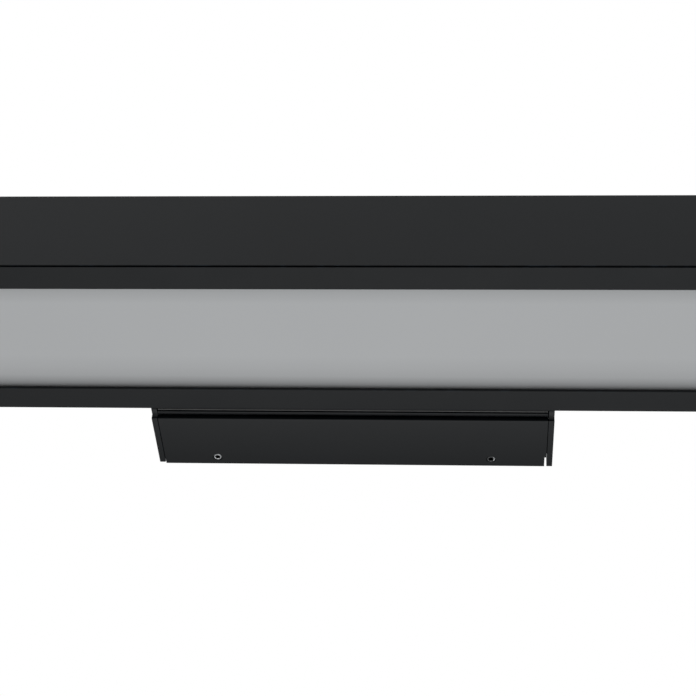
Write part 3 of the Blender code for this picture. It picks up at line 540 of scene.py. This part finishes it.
def circle(radius, height, sides=TURN_SIDES):
    """A ring round the Z axis. The radius may change with the angle."""
    ring = []
    for i in range(sides):
        angle = 2 * math.pi * i / sides
        reach = radius(angle) if callable(radius) else radius
        ring.append(Vector((reach * math.cos(angle), reach * math.sin(angle), height)))
    return ring


def hexagon(across_flats, turn=0.0):
    def reach(angle):
        fold = (angle + turn + math.pi / 6) % (math.pi / 3) - math.pi / 6
        return across_flats / 2 / math.cos(fold)
    return reach


def cross(length, width):
    """The outline of a cross recess."""
    def reach(angle):
        fold = abs((angle + math.pi / 4) % (math.pi / 2) - math.pi / 4)
        tip = length / math.cos(fold)
        if fold < 0.01:
            return tip
        return min(tip, width / 2 / math.sin(fold))
    return reach


def bridge(bm, first, second):
    count = len(first)
    for i in range(count):
        after = (i + 1) % count
        bm.faces.new((first[i], first[after], second[after], second[i]))


def stack(bm, rings, closed=False, recessed=0):
    """A body through rings of points: capped at both ends, or closed on itself like a nut.

    The first rings may be a recess, which the finish darkens with painted shade.
    """
    recess = bm.verts.layers.float.get("recess") or bm.verts.layers.float.new("recess")
    loops = [[bm.verts.new(point) for point in ring] for ring in rings]
    for loop in loops[:recessed]:
        for vert in loop:
            vert[recess] = 1.0
    for first, second in zip(loops, loops[1:]):
        bridge(bm, first, second)
    if closed:
        bridge(bm, loops[-1], loops[0])
    else:
        bm.faces.new(loops[0][::-1])
        bm.faces.new(loops[-1])


def thread(radius, start, end, pitch):
    """Rings of a real thread from start down to end, fading out at both."""
    steps_per_turn = 6
    count = max(2, round((start - end) / pitch * steps_per_turn))
    depth = 0.54 * pitch
    rings = []
    for k in range(count + 1):
        height = start + (end - start) * k / count
        fade = min(1.0, (start - height) / pitch, (height - end) / pitch)

        def reach(angle, height=height, fade=fade):
            phase = 2 * math.pi * height / pitch + angle
            return radius - fade * depth * (0.5 - 0.5 * math.cos(phase))

        rings.append(circle(reach, height))
    return rings


def aim(outward):
    return UP.rotation_difference(outward).to_matrix().to_4x4()


def pan_head(radius, height, recess, recess_depth):
    """Rings of a pan head that stands on the plane 0, from the recess's floor outwards."""
    rim = 0.28 * height
    rings = [circle(recess(0.45), height - recess_depth), circle(recess(1.0), height - 0.06 * height)]
    rings.append(circle(recess(1.08), height))
    rings.append(circle(radius - 1.6 * rim, height - 0.01 * height))
    for degrees in (25, 50, 75, 90):
        angle = math.radians(degrees)
        reach = radius - rim + rim * math.sin(angle)
        rings.append(circle(reach, height - rim + rim * math.cos(angle)))
    rings.append(circle(radius, 0.08 * height))
    rings.append(circle(radius - 0.08 * height, 0.0))
    return rings


def hex_recess(across_flats):
    return lambda share: hexagon(across_flats * max(share, 0.9))


def cross_recess(length, width):
    return lambda share: cross(length * share, width * share)


def screw(node, outward, size, recess, recess_depth):
    """A threaded pan-head screw in the place of its CAD node."""
    shank, head_height, pitch = size
    low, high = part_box(node)
    middle = (low + high) / 2
    extent = high - low
    along = abs(extent.dot(outward))
    across = max(abs(extent[i]) for i in range(3) if abs(outward[i]) < 0.5) / 2
    foot = head_height - along
    rings = pan_head(across, head_height, recess, recess_depth)
    rings.append(circle(shank, -0.02 * head_height))
    rings += thread(shank, -0.4 * MM, foot + 0.4 * MM, pitch)
    rings.append(circle(shank * 0.72, foot))
    bm = bmesh.new()
    stack(bm, rings, recessed=2)
    seat = middle + outward * (along / 2 - head_height)
    bm.transform(Matrix.Translation(seat) @ aim(outward))
    return dress(object_from(bm, node + "_threaded", finish_of(node)), node)


def countersunk_screw(node, outward):
    """A flat-headed screw with a hex socket, flush in the end cap."""
    low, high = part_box(node)
    middle = (low + high) / 2
    along = abs((high - low).dot(outward))
    head = (high.z - low.z) / 2
    shank = 1.15 * MM
    land = 0.2 * MM
    taper = head - shank + land
    foot = -along
    socket = hexagon(1.5 * MM)
    rings = [circle(0.1 * MM, -1.5 * MM), circle(socket, -1.15 * MM), circle(socket, -0.12 * MM)]
    rings += [circle(hexagon(1.68 * MM), 0.0), circle(head - 0.12 * MM, 0.0), circle(head, -0.1 * MM)]
    rings += [circle(head, -land), circle(shank, -taper)]
    rings += thread(shank, -taper - 0.4 * MM, foot + 1.2 * MM, 0.5 * MM)
    rings.append(circle(shank * 0.35, foot))
    bm = bmesh.new()
    stack(bm, rings, recessed=3)
    bm.transform(Matrix.Translation(middle + outward * along / 2) @ aim(outward))
    return dress(object_from(bm, node + "_threaded", finish_of(node)), node)


def set_screw(node, painted_rim_shade):
    """A headless clamp screw: bright chamfered rim, hex socket below and a cup point above.

    Painted shade darkens the rim by the given share, except on its side past 1.2 mm towards +X.
    """
    low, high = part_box(node)
    middle = (low + high) / 2
    length = high.z - low.z
    radius = 2.0 * MM
    rim = 0.2 * MM
    socket = hexagon(2.4 * MM)
    rings = [circle(0.1 * MM, -2.7 * MM), circle(socket, -2.2 * MM), circle(socket, -0.12 * MM)]
    rings += [circle(1.4 * MM, 0.0), circle(radius - rim, 0.0), circle(radius, -rim)]
    rings.append(circle(radius, -2 * rim))
    rings += thread(radius, -2.4 * rim, -length + 0.9 * MM, 0.7 * MM)
    rings += [circle(radius - 0.6 * MM, -length), circle(radius - 1.0 * MM, -length)]
    rings.append(circle(0.2 * MM, -length + 0.6 * MM))
    bm = bmesh.new()
    stack(bm, rings, recessed=3)
    down = -UP
    bm.transform(Matrix.Translation(middle + down * length / 2) @ aim(down))
    recess = bm.verts.layers.float["recess"]
    # painted shade on the rim: it stops 1.2 mm past the middle towards +X
    shade_stops_at_x = middle.x + 1.2 * MM
    for vert in bm.verts:
        if vert.co.z < low.z + 2 * rim and vert.co.x < shade_stops_at_x:
            vert[recess] = max(vert[recess], painted_rim_shade)
    return dress(object_from(bm, node + "_threaded", finish_of(node)), node)


def hex_nut(node):
    """A chamfered hexagon nut with a threaded bore."""
    low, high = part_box(node)
    middle = (low + high) / 2
    thick = high.y - low.y
    flats = high.z - low.z
    outline = hexagon(flats, math.pi / 6)
    bore = 2.16 * MM
    soft = 0.45 * MM

    def chamfered(angle):
        return min(outline(angle), flats / 2 + 0.3 * MM)

    half = thick / 2
    rings = [circle(bore + 0.35 * MM, half), circle(flats / 2 - 0.15 * MM, half)]
    rings += [circle(chamfered, half - soft * 0.6), circle(outline, half - soft)]
    rings += [circle(outline, soft - half), circle(chamfered, soft * 0.6 - half)]
    rings += [circle(flats / 2 - 0.15 * MM, -half), circle(bore + 0.35 * MM, -half)]
    inside = thread(bore + 0.3 * MM, half - 0.25 * MM, 0.25 * MM - half, 0.7 * MM)
    bm = bmesh.new()
    stack(bm, rings + inside[::-1], closed=True)
    bm.transform(Matrix.Translation(middle) @ aim(OUT))
    return dress(object_from(bm, node + "_threaded", finish_of(node)), node)


# ---------------------------------------------------------------- cutting

def boolean(piece, bm, operation="DIFFERENCE"):
    """Cuts the bodies in bm out of the piece, or joins them to it, and keeps the result."""
    tool = object_from(bm, piece.name + "_tool", piece.data.materials[0])
    modifier = piece.modifiers.new("boolean", "BOOLEAN")
    modifier.operation = operation
    modifier.solver = "EXACT"
    modifier.object = tool
    graph = bpy.context.evaluated_depsgraph_get()
    result = bpy.data.meshes.new_from_object(piece.evaluated_get(graph))
    piece.modifiers.clear()
    piece.data = result
    result.set_sharp_from_angle(angle=math.radians(CREASE_DEGREES))
    bpy.data.objects.remove(tool)
    return piece


def reworked(piece, radius, segments=2, least_length=0.0):
    """The piece's mesh cleaned of inner lines, with its outer edges rounded."""
    bm = cleaned(piece.data)
    round_edges(bm, radius, segments, least_length)
    name = piece.name
    material = piece.data.materials[0]
    bpy.data.objects.remove(piece)
    return even_shading(object_from(bm, name, material))


def hole(bm, outward, centre, stations, sides=48):
    """A turned cutter through stations of (distance along outward from the centre, radius)."""
    part = bmesh.new()
    stack(part, [circle(radius, height, sides) for height, radius in stations])
    part.transform(Matrix.Translation(centre) @ aim(outward))
    merge(bm, part)


def merge(bm, part):
    mesh = bpy.data.meshes.new("part")
    part.to_mesh(mesh)
    part.free()
    bm.from_mesh(mesh)
    bpy.data.meshes.remove(mesh)


def rounded_outline(half_u, half_v, radius, steps=6):
    """A rectangle with round corners, as (u, v) pairs."""
    points = []
    for quarter, (sign_u, sign_v) in enumerate(((1, 1), (-1, 1), (-1, -1), (1, -1))):
        for step in range(steps + 1):
            angle = math.radians(90 * (quarter + step / steps))
            u = sign_u * (half_u - radius) + radius * math.cos(angle)
            v = sign_v * (half_v - radius) + radius * math.sin(angle)
            points.append((u, v))
    return points


def slab_rings(middle, half_x, half_z, radius, stations):
    """Round-cornered rings in the XZ plane, at stations of (Y, inset)."""
    rings = []
    for y, inset in stations:
        outline = rounded_outline(half_x - inset, half_z - inset, max(radius - inset, 0.1 * MM))
        rings.append([Vector((middle.x + u, y, middle.z + v)) for u, v in outline])
    return rings


# ---------------------------------------------------------------- the bar

def drilled_shell(node, cutters, radius, least_length):
    """The CAD shape with finely turned holes in place of its faceted ones, and rounded edges."""
    piece = object_from(cleaned(frame["nodes"][node].data), node + "_shell", finish_of(node))
    boolean(piece, cutters)
    dress(reworked(piece, radius, 2, least_length), node)


def make_bar():
    rounded_shell("bar_housing", 0.35 * MM, 3, 50 * MM)
    for _, word in FRONT_AND_REAR:
        rounded_shell("lens_rail_" + word, 0.12 * MM, 2, 50 * MM)
        rounded_shell("reflector_" + word, 0.2 * MM, 2, 50 * MM)
    rounded_shell("diffuser", 0.3 * MM, 3)
    make_tray()
    for side, word in SIDES:
        make_end_cap(side, word)


def make_tray():
    """The tray, with its wire hole turned round at the hole's own size."""
    low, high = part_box("led_tray")
    cutters = bmesh.new()
    wire_pass = Vector((5 * MM, (low.y + high.y) / 2, (low.z + high.z) / 2))
    hole(cutters, UP, wire_pass, [(-3 * MM, 6.55 * MM), (3 * MM, 6.55 * MM)], 56)
    drilled_shell("led_tray", cutters, 0.2 * MM, 2.95 * MM)


def make_end_cap(side, word):
    """A flat cap with softened edges and finely turned countersinks."""
    node = "end_cap_" + word
    low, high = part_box(node)
    piece = object_from(block(low, high), node + "_plate", finish_of(node))
    outward = RIGHT * side
    cutters = bmesh.new()
    for number in range(1, 5):
        screw_low, screw_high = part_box(f"cap_screw_{word}_{number}")
        centre = (screw_low + screw_high) / 2
        centre.x = side * max(abs(low.x), abs(high.x))
        head = (screw_high.z - screw_low.z) / 2 + 0.2 * MM
        shank = 1.35 * MM
        sunk = 0.3 * MM
        stations = [(MM, head), (-sunk, head), (-sunk - head + shank, shank), (-5 * MM, shank)]
        hole(cutters, outward, centre, stations)
    boolean(piece, cutters)
    dress(reworked(piece, 0.4 * MM, 3, 10 * MM), node)
    for number in range(1, 5):
        countersunk_screw(f"cap_screw_{word}_{number}", outward)


def make_led_boards():
    """Each board with its LEDs in white frames, and a wire connector."""
    for sign, word in FRONT_AND_REAR:
        node = "led_board_" + word
        low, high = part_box(node)
        board_thick = 1.6 * MM
        under = high.z - board_thick
        middle_y = (low.y + high.y) / 2
        bm = bmesh.new()
        add_block(bm, Vector((low.x, low.y, under)), high, 0.15 * MM)
        board = object_from(bm, node + "_board", finish_of(node))
        dress(board, node)
        frames = bmesh.new()
        domes = bmesh.new()
        count = 14
        pitch = (high.x - low.x) / count
        for i in range(count):
            centre = Vector((low.x + (i + 0.5) * pitch, middle_y, under))
            add_led(frames, domes, centre)
        for part, kind, finish in ((frames, "frames", "reflector_white"), (domes, "domes", "led_phosphor")):
            piece = object_from(part, f"led_{kind}_{word}", FINISHES[finish])
            dress(piece, body="fixture", slot="board_white")
        make_connector(word, sign, low, high, under)


def add_block(bm, low, high, radius):
    part = block(low, high)
    round_edges(part, radius)
    merge(bm, part)


def add_led(frames, domes, centre):
    """A 2.5 mm package under the board: a white frame whose cup holds a low yellow dome."""
    half = 1.25 * MM
    height = 0.78 * MM
    stations = ((-0.01 * MM, 0.0), (-height + 0.1 * MM, 0.0), (-height, 0.1 * MM))
    cup = ((-height, 0.42 * MM), (-0.35 * MM, 0.55 * MM))
    part = bmesh.new()
    rings = [
        [centre + Vector((u, v, z)) for u, v in rounded_outline(half - inset, half - inset, 0.2 * MM, 3)]
        for z, inset in stations + cup
    ]
    stack(part, rings)
    merge(frames, part)
    dome = bmesh.new()
    rings = [[centre + point for point in circle(0.62 * MM, -0.36 * MM, 20)]]
    for degrees in (20, 45, 70):
        angle = math.radians(degrees)
        ring = circle(0.66 * MM * math.cos(angle), -0.38 * MM - 0.3 * MM * math.sin(angle), 20)
        rings.append([centre + point for point in ring])
    stack(dome, rings)
    merge(domes, dome)


def make_connector(word, sign, low, high, under):
    """A white push-in connector with two wire funnels that face the middle of the bar."""
    inner = low.y + MM if sign > 0 else high.y - MM
    outer = inner + sign * 4 * MM
    near, far = min(inner, outer), max(inner, outer)
    bm = bmesh.new()
    add_block(bm, Vector((-6 * MM, near, low.z)), Vector((12 * MM, far, under - 0.01 * MM)), 0.25 * MM)
    piece = object_from(bm, "board_connector_" + word, FINISHES["terminal_cream"])
    cutters = bmesh.new()
    facing = Vector((0, -sign, 0))
    for x in (-2 * MM, 5 * MM, 8.5 * MM):
        centre = Vector((x, inner, (low.z + under) / 2))
        stations = [(0.5 * MM, 1.25 * MM), (-0.4 * MM, 1.0 * MM), (-1.6 * MM, 1.0 * MM)]
        hole(cutters, facing, centre, stations, 24)
    boolean(piece, cutters)
    dress(piece, body="fixture", slot="board_white")


# ---------------------------------------------------------------- canopy and neck

def make_canopy():
    for node in ("canopy_end_left", "canopy_end_right"):
        rounded_shell(node, 0.22 * MM, 2, 1.6 * MM)
    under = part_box("canopy_body")[0].z
    cutters = bmesh.new()
    for _, word in SIDES:
        place = centre_of("set_screw_" + word)
        place.z = under
        stations = [(MM, 2.6 * MM), (0.0, 2.6 * MM), (-0.4 * MM, 2.2 * MM), (-3 * MM, 2.2 * MM)]
        hole(cutters, -UP, place, stations, 56)
    drilled_shell("canopy_body", cutters, 0.22 * MM, 1.6 * MM)
    rounded_shell("spacer_plate", 0.15 * MM, 2, 50 * MM)
    rounded_shell("seat_gasket", 0.25 * MM, 2, 20 * MM)
    make_grommet()


def make_grommet():
    """A rubber bush with a rounded flange, a snap-in lip and a tapered bore."""
    node = "wire_grommet"
    low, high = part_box(node)
    length = high.y - low.y
    flange = (high.x - low.x) / 2
    shaft = 4.72 * MM
    bore = 2.62 * MM
    stations = [
        (bore + 0.5 * MM, 0.0),
        (flange - 0.6 * MM, 0.0),
        (flange - 0.15 * MM, -0.2 * MM),
        (flange, -0.6 * MM),
        (flange, -1.3 * MM),
        (flange - 0.1 * MM, -1.5 * MM),
        (shaft, -1.5 * MM),
        (shaft, -length + 0.5 * MM),
        (shaft - 0.4 * MM, -length),
        (bore + 0.1 * MM, -length),
        (bore, -length + 0.3 * MM),
        (bore, -0.5 * MM),
    ]
    bm = bmesh.new()
    stack(bm, [circle(radius, height) for radius, height in stations], closed=True)
    place = Vector(((low.x + high.x) / 2, high.y, (low.z + high.z) / 2))
    bm.transform(Matrix.Translation(place) @ aim(OUT))
    dress(object_from(bm, node + "_bush", finish_of(node)), node)


def quarter_bend(y, z, radius, sign, steps):
    """A quarter circle round (y, z), from the wall's side towards a flange above or below."""
    angles = [math.radians(90 * step / steps) for step in range(steps + 1)]
    return [(y + radius * math.cos(angle), z + sign * radius * math.sin(angle)) for angle in angles]


def bracket_outline(low, high):
    """The folded sheet's section as (Y, Z) points: a flat back with a flange below and above."""
    sheet = 2 * MM
    outer = 2.4 * MM
    inner = outer - sheet
    front = low.y
    lower = low.z + outer
    upper = high.z - outer
    outline = [(front, low.z), *quarter_bend(-outer, lower, outer, -1, 6)[::-1]]
    outline += [*quarter_bend(-outer, upper, outer, 1, 6), (front, high.z), (front, high.z - sheet)]
    outline += quarter_bend(-outer, upper, inner, 1, 4)[::-1]
    return outline + [*quarter_bend(-outer, lower, inner, -1, 4), (front, low.z + sheet)]


def opening_middle(name):
    """The middle of an opening that the record states, on the wall's plane."""
    boxes = {opening["name"]: opening["box_m"] for opening in RECORD["physics"]["openings"]}
    low, high = boxes[name]
    return Vector(((low[0] + high[0]) / 2, 0, (low[2] + high[2]) / 2))


def make_bracket():
    """Folded zinc-plated sheet with bend radii, a deburred cable hole and slots for the wall screws."""
    node = "wall_bracket"
    low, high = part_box(node)
    outline = bracket_outline(low, high)
    bm = bmesh.new()
    stack(bm, [[Vector((x, y, z)) for y, z in outline] for x in (low.x, high.x)])
    piece = object_from(bm, node + "_folded", finish_of(node))
    cutters = bmesh.new()
    behind, before = 5 * MM, -8 * MM
    earth = centre_of("bracket_earth_screw")
    earth.y = 0
    for centre, radius, sides in ((opening_middle("supply_cable_hole"), 10 * MM, 64), (earth, 2.15 * MM, 48)):
        hole(cutters, OUT, centre, [(behind, radius), (before, radius)], sides)
    for _, word in SIDES:
        centre = opening_middle("wall_slot_" + word)
        slot = bmesh.new()
        outline = rounded_outline(6.5 * MM, 2.7 * MM, 2.69 * MM, 8)
        stack(slot, [[centre + Vector((u, y, v)) for u, v in outline] for y in (before, behind)])
        merge(cutters, slot)
    boolean(piece, cutters)
    dress(reworked(piece, 0.25 * MM, 2, 0.5 * MM), node)


# ---------------------------------------------------------------- electrics

def make_driver():
    """A moulded LED driver: parting line, raised rim round the lid, wire ports and mounting ears."""
    node = "driver_case"
    low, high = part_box(node)
    ear = 6 * MM
    ear_thick = 3 * MM
    half_ear = 6 * MM
    half_x = (high.x - low.x) / 2 - ear
    half_z = (high.z - low.z) / 2
    middle = (low + high) / 2
    base, lid = low.y, high.y
    groove = base + 13 * MM
    stations = [
        (base, 0.6 * MM),
        (base + 0.6 * MM, 0.0),
        (groove - 0.3 * MM, 0.0),
        (groove - 0.1 * MM, 0.5 * MM),
        (groove + 0.3 * MM, 0.5 * MM),
        (groove + 0.5 * MM, 0.0),
        (lid - 1.2 * MM, 0.0),
        (lid - 0.5 * MM, 0.2 * MM),
        (lid - 0.1 * MM, 0.7 * MM),
        (lid, 1.2 * MM),
        (lid, 2.6 * MM),
        (lid - 0.4 * MM, 3.0 * MM),
    ]
    bm = bmesh.new()
    stack(bm, slab_rings(middle, half_x, half_z, 3.2 * MM, stations))
    case = object_from(bm, node + "_moulding", finish_of(node))
    ears = bmesh.new()
    soft = 0.3 * MM
    top = base + ear_thick
    stations = [(base, soft), (base + soft, 0.0), (top - soft, 0.0), (top, soft)]
    stack(ears, slab_rings(middle, half_x + ear, half_ear, 2.5 * MM, stations))
    boolean(case, ears, "UNION")
    cutters = bmesh.new()
    for _, word in SIDES:
        place = centre_of("driver_screw_" + word)
        place.y = base
        hole(cutters, OUT, place, [(-MM, 1.7 * MM), (ear_thick + 0.2 * MM, 1.7 * MM)], 32)
    led_side = low.x + ear
    for port_z in (-4.8 * MM, 0.0):
        add_port(cutters, Vector((led_side, base + 8 * MM, port_z)), -RIGHT)
    mains_side = high.x - ear
    for port_z in (1.5 * MM, 4.5 * MM):
        add_port(cutters, Vector((mains_side, base + 9 * MM, port_z)), RIGHT)
    boolean(case, cutters)
    dress(even_shading(case), node)


def add_port(cutters, centre, outward):
    """The funnel where a wire enters the driver."""
    stations = [(0.5 * MM, 1.45 * MM), (-0.1 * MM, 1.3 * MM), (-0.6 * MM, 1.1 * MM), (-3 * MM, 1.1 * MM)]
    hole(cutters, outward, centre, stations, 24)


def make_terminal():
    """A three-pole block with a hump over each pole, screw wells, wire funnels and brass inside."""
    node = "terminal_block"
    low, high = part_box(node)
    middle = (low + high) / 2
    half_x = (high.x - low.x) / 2
    pole = (high.z - low.z) / 3
    shoulder = high.y - 3.2 * MM
    bm = bmesh.new()
    stations = [(low.y, 0.4 * MM), (low.y + 0.4 * MM, 0.0), (shoulder, 0.0), (shoulder + 0.3 * MM, 0.3 * MM)]
    stack(bm, slab_rings(middle, half_x, (high.z - low.z) / 2, 0.8 * MM, stations))
    moulding = object_from(bm, node + "_moulding", finish_of(node))
    humps = bmesh.new()
    heights = [middle.z + step * pole for step in (-1, 0, 1)]
    stations = [(shoulder - MM, 0.3 * MM), (high.y - 0.8 * MM, 0.3 * MM)]
    stations += [(high.y - 0.2 * MM, 0.55 * MM), (high.y, 1.0 * MM)]
    for height in heights:
        hump = bmesh.new()
        centre = Vector((middle.x, 0, height))
        stack(hump, slab_rings(centre, half_x - 0.4 * MM, pole / 2, 0.9 * MM, stations))
        merge(humps, hump)
    boolean(moulding, humps, "UNION")
    cutters = bmesh.new()
    well_out = 7 * MM
    well_stations = [(MM, 2.0 * MM), (-0.3 * MM, 1.85 * MM), (-4 * MM, 1.85 * MM)]
    funnel_stations = [(MM, 1.9 * MM), (-0.6 * MM, 1.4 * MM), (-2 * MM, 1.4 * MM)]
    clamps = [(side, height) for height in heights for side, _ in SIDES]
    for side, height in clamps:
        well = Vector((middle.x + side * well_out, high.y, height))
        hole(cutters, OUT, well, well_stations, 32)
        entry = Vector((middle.x + side * half_x, low.y + 6 * MM, height))
        hole(cutters, RIGHT * side, entry, funnel_stations, 32)
    boolean(moulding, cutters)
    shaft = bmesh.new()
    seat = low.y + 2.5 * MM
    axis = Vector((middle.x, 0, middle.z))
    stations = [(low.y - MM, 1.7 * MM), (seat, 1.7 * MM), (seat, 3.1 * MM), (high.y + MM, 3.1 * MM)]
    hole(shaft, OUT, axis, stations, 32)
    boolean(moulding, shaft)
    dress(even_shading(moulding), node)
    screws = bmesh.new()
    for side, height in clamps:
        add_clamp_screw(screws, Vector((middle.x + side * well_out, high.y - 3.9 * MM, height)))
    piece = object_from(screws, "terminal_clamp_screws", FINISHES["earth_brass"])
    dress(piece, body="fixture", slot="earth_brass")


def add_clamp_screw(bm, foot):
    """The slotted head of a clamp screw at the bottom of its well."""
    part = bmesh.new()
    radius = 1.6 * MM
    slot = 0.3 * MM

    def half_disc(reach, height, sign):
        start = math.asin(min(0.99, slot / reach))
        points = []
        for step in range(13):
            angle = start + (math.pi - 2 * start) * step / 12
            points.append(Vector((reach * math.cos(angle), sign * reach * math.sin(angle), height)))
        return points if sign > 0 else points[::-1]

    stack(part, [circle(radius, 0.0, 24), circle(radius, 0.7 * MM, 24)])
    for sign in (-1, 1):
        rings = [half_disc(radius, 0.69 * MM, sign), half_disc(radius, 1.3 * MM, sign)]
        rings.append(half_disc(radius - 0.15 * MM, 1.45 * MM, sign))
        stack(part, rings)
    part.transform(Matrix.Translation(foot) @ aim(OUT))
    merge(bm, part)


# ---------------------------------------------------------------- leads

def centreline(node):
    """The middle points of a CAD wire's rings, from one cut end to the other."""
    bm = bmesh.new()
    bm.from_mesh(frame["nodes"][node].data)
    bmesh.ops.remove_doubles(bm, verts=bm.verts, dist=WELD)
    sharp = math.radians(60)
    rims = {edge for edge in bm.edges if edge.calc_face_angle() > sharp}
    layer = {max((vert for edge in rims for vert in edge.verts), key=lambda vert: vert.co.x)}
    reached = 0
    while reached < len(layer):
        reached = len(layer)
        layer |= {vert for edge in rims if layer & set(edge.verts) for vert in edge.verts}
    seen = set(layer)
    centres = []
    while layer:
        centres.append(sum((vert.co for vert in layer), Vector()) / len(layer))
        layer = {edge.other_vert(vert) for vert in layer for edge in vert.link_edges} - seen
        seen |= layer
    bm.free()
    return centres


def smooth_route(points, steps):
    """A Catmull-Rom curve through the points."""
    route = []
    last = len(points) - 1
    for i in range(last):
        before, start, end, after = points[max(i - 1, 0)], points[i], points[i + 1], points[min(i + 2, last)]
        for step in range(steps):
            t = step / steps
            bend = (2 * before - 5 * start + 4 * end - after) * t**2
            twist = (3 * start - before - 3 * end + after) * t**3
            route.append((2 * start + (end - before) * t + bend + twist) / 2)
    route.append(points[last])
    return route


def make_lead(node, radius=0.9 * MM, steps=4, sides=16):
    """A round, smooth wire on the CAD wire's own line, with softened cut ends."""
    route = smooth_route(centreline(node), steps)
    bm = bmesh.new()
    around = bm.verts.layers.float.new("around")
    normal = None
    loops = []
    last = len(route) - 1
    for i, point in enumerate(route):
        direction = (route[min(i + 1, last)] - route[max(i - 1, 0)]).normalized()
        if normal is None:
            normal = direction.orthogonal()
        normal = (normal - direction * normal.dot(direction)).normalized()
        second = direction.cross(normal)
        reach = radius * (0.86 if i in (0, last) else 1.0)
        loop = []
        for side in range(sides):
            angle = 2 * math.pi * side / sides
            offset = normal * math.cos(angle) + second * math.sin(angle)
            vert = bm.verts.new(point + offset * reach)
            vert[around] = 0.5 + 0.5 * math.cos(2 * angle)
            loop.append(vert)
        loops.append(loop)
    for first, following in zip(loops, loops[1:]):
        bridge(bm, first, following)
    bm.faces.new(loops[0][::-1])
    bm.faces.new(loops[-1])
    dress(object_from(bm, node + "_wire", finish_of(node), 50), node)


def make_leads():
    leads = ("live_lead", "neutral_lead", "earth_lead", "led_lead_plus", "led_lead_minus", "board_jumper")
    for node in leads:
        make_lead(node)


# ---------------------------------------------------------------- fasteners

# (shank radius, head height, thread pitch)
M2_5 = (1.25 * MM, 1.7 * MM, 0.45 * MM)
M3 = (1.5 * MM, 2.0 * MM, 0.5 * MM)
M4 = (2.0 * MM, 2.6 * MM, 0.7 * MM)


def make_fasteners():
    m3_cross = cross_recess(1.45 * MM, 0.72 * MM)
    m4_cross = cross_recess(1.9 * MM, 0.9 * MM)
    m3_hex = hex_recess(2.0 * MM)
    m4_hex = hex_recess(2.5 * MM)
    small_hex = hex_recess(1.5 * MM)
    for number in range(1, 5):
        screw(f"coupling_bolt_{number}", OUT, M4, m4_hex, 1.6 * MM)
        hex_nut(f"coupling_nut_{number}")
        screw(f"canopy_end_screw_{number}", OUT, M3, m3_hex, 1.2 * MM)
        screw(f"tray_screw_{number}", UP, M2_5, small_hex, 1.0 * MM)
    for node in ("driver_screw_left", "driver_screw_right", "terminal_screw"):
        screw(node, OUT, M3, m3_cross, 1.3 * MM)
    screw("canopy_earth_screw", OUT, M4, m4_cross, 1.6 * MM)
    screw("bracket_earth_screw", -OUT, M4, m4_cross, 1.6 * MM)
    # painted shade: the right set screw's rim is darkened, the left one's is not
    set_screw("set_screw_left", 0.0)
    set_screw("set_screw_right", 0.85)


# ---------------------------------------------------------------- assembly

make_camera()
make_world()
make_floor()
make_bar()
make_led_boards()
make_canopy()
make_bracket()
make_driver()
make_terminal()
make_leads()
make_fasteners()

for node, item in frame["nodes"].items():
    item.data.materials.clear()
    item.data.materials.append(finish_of(node))
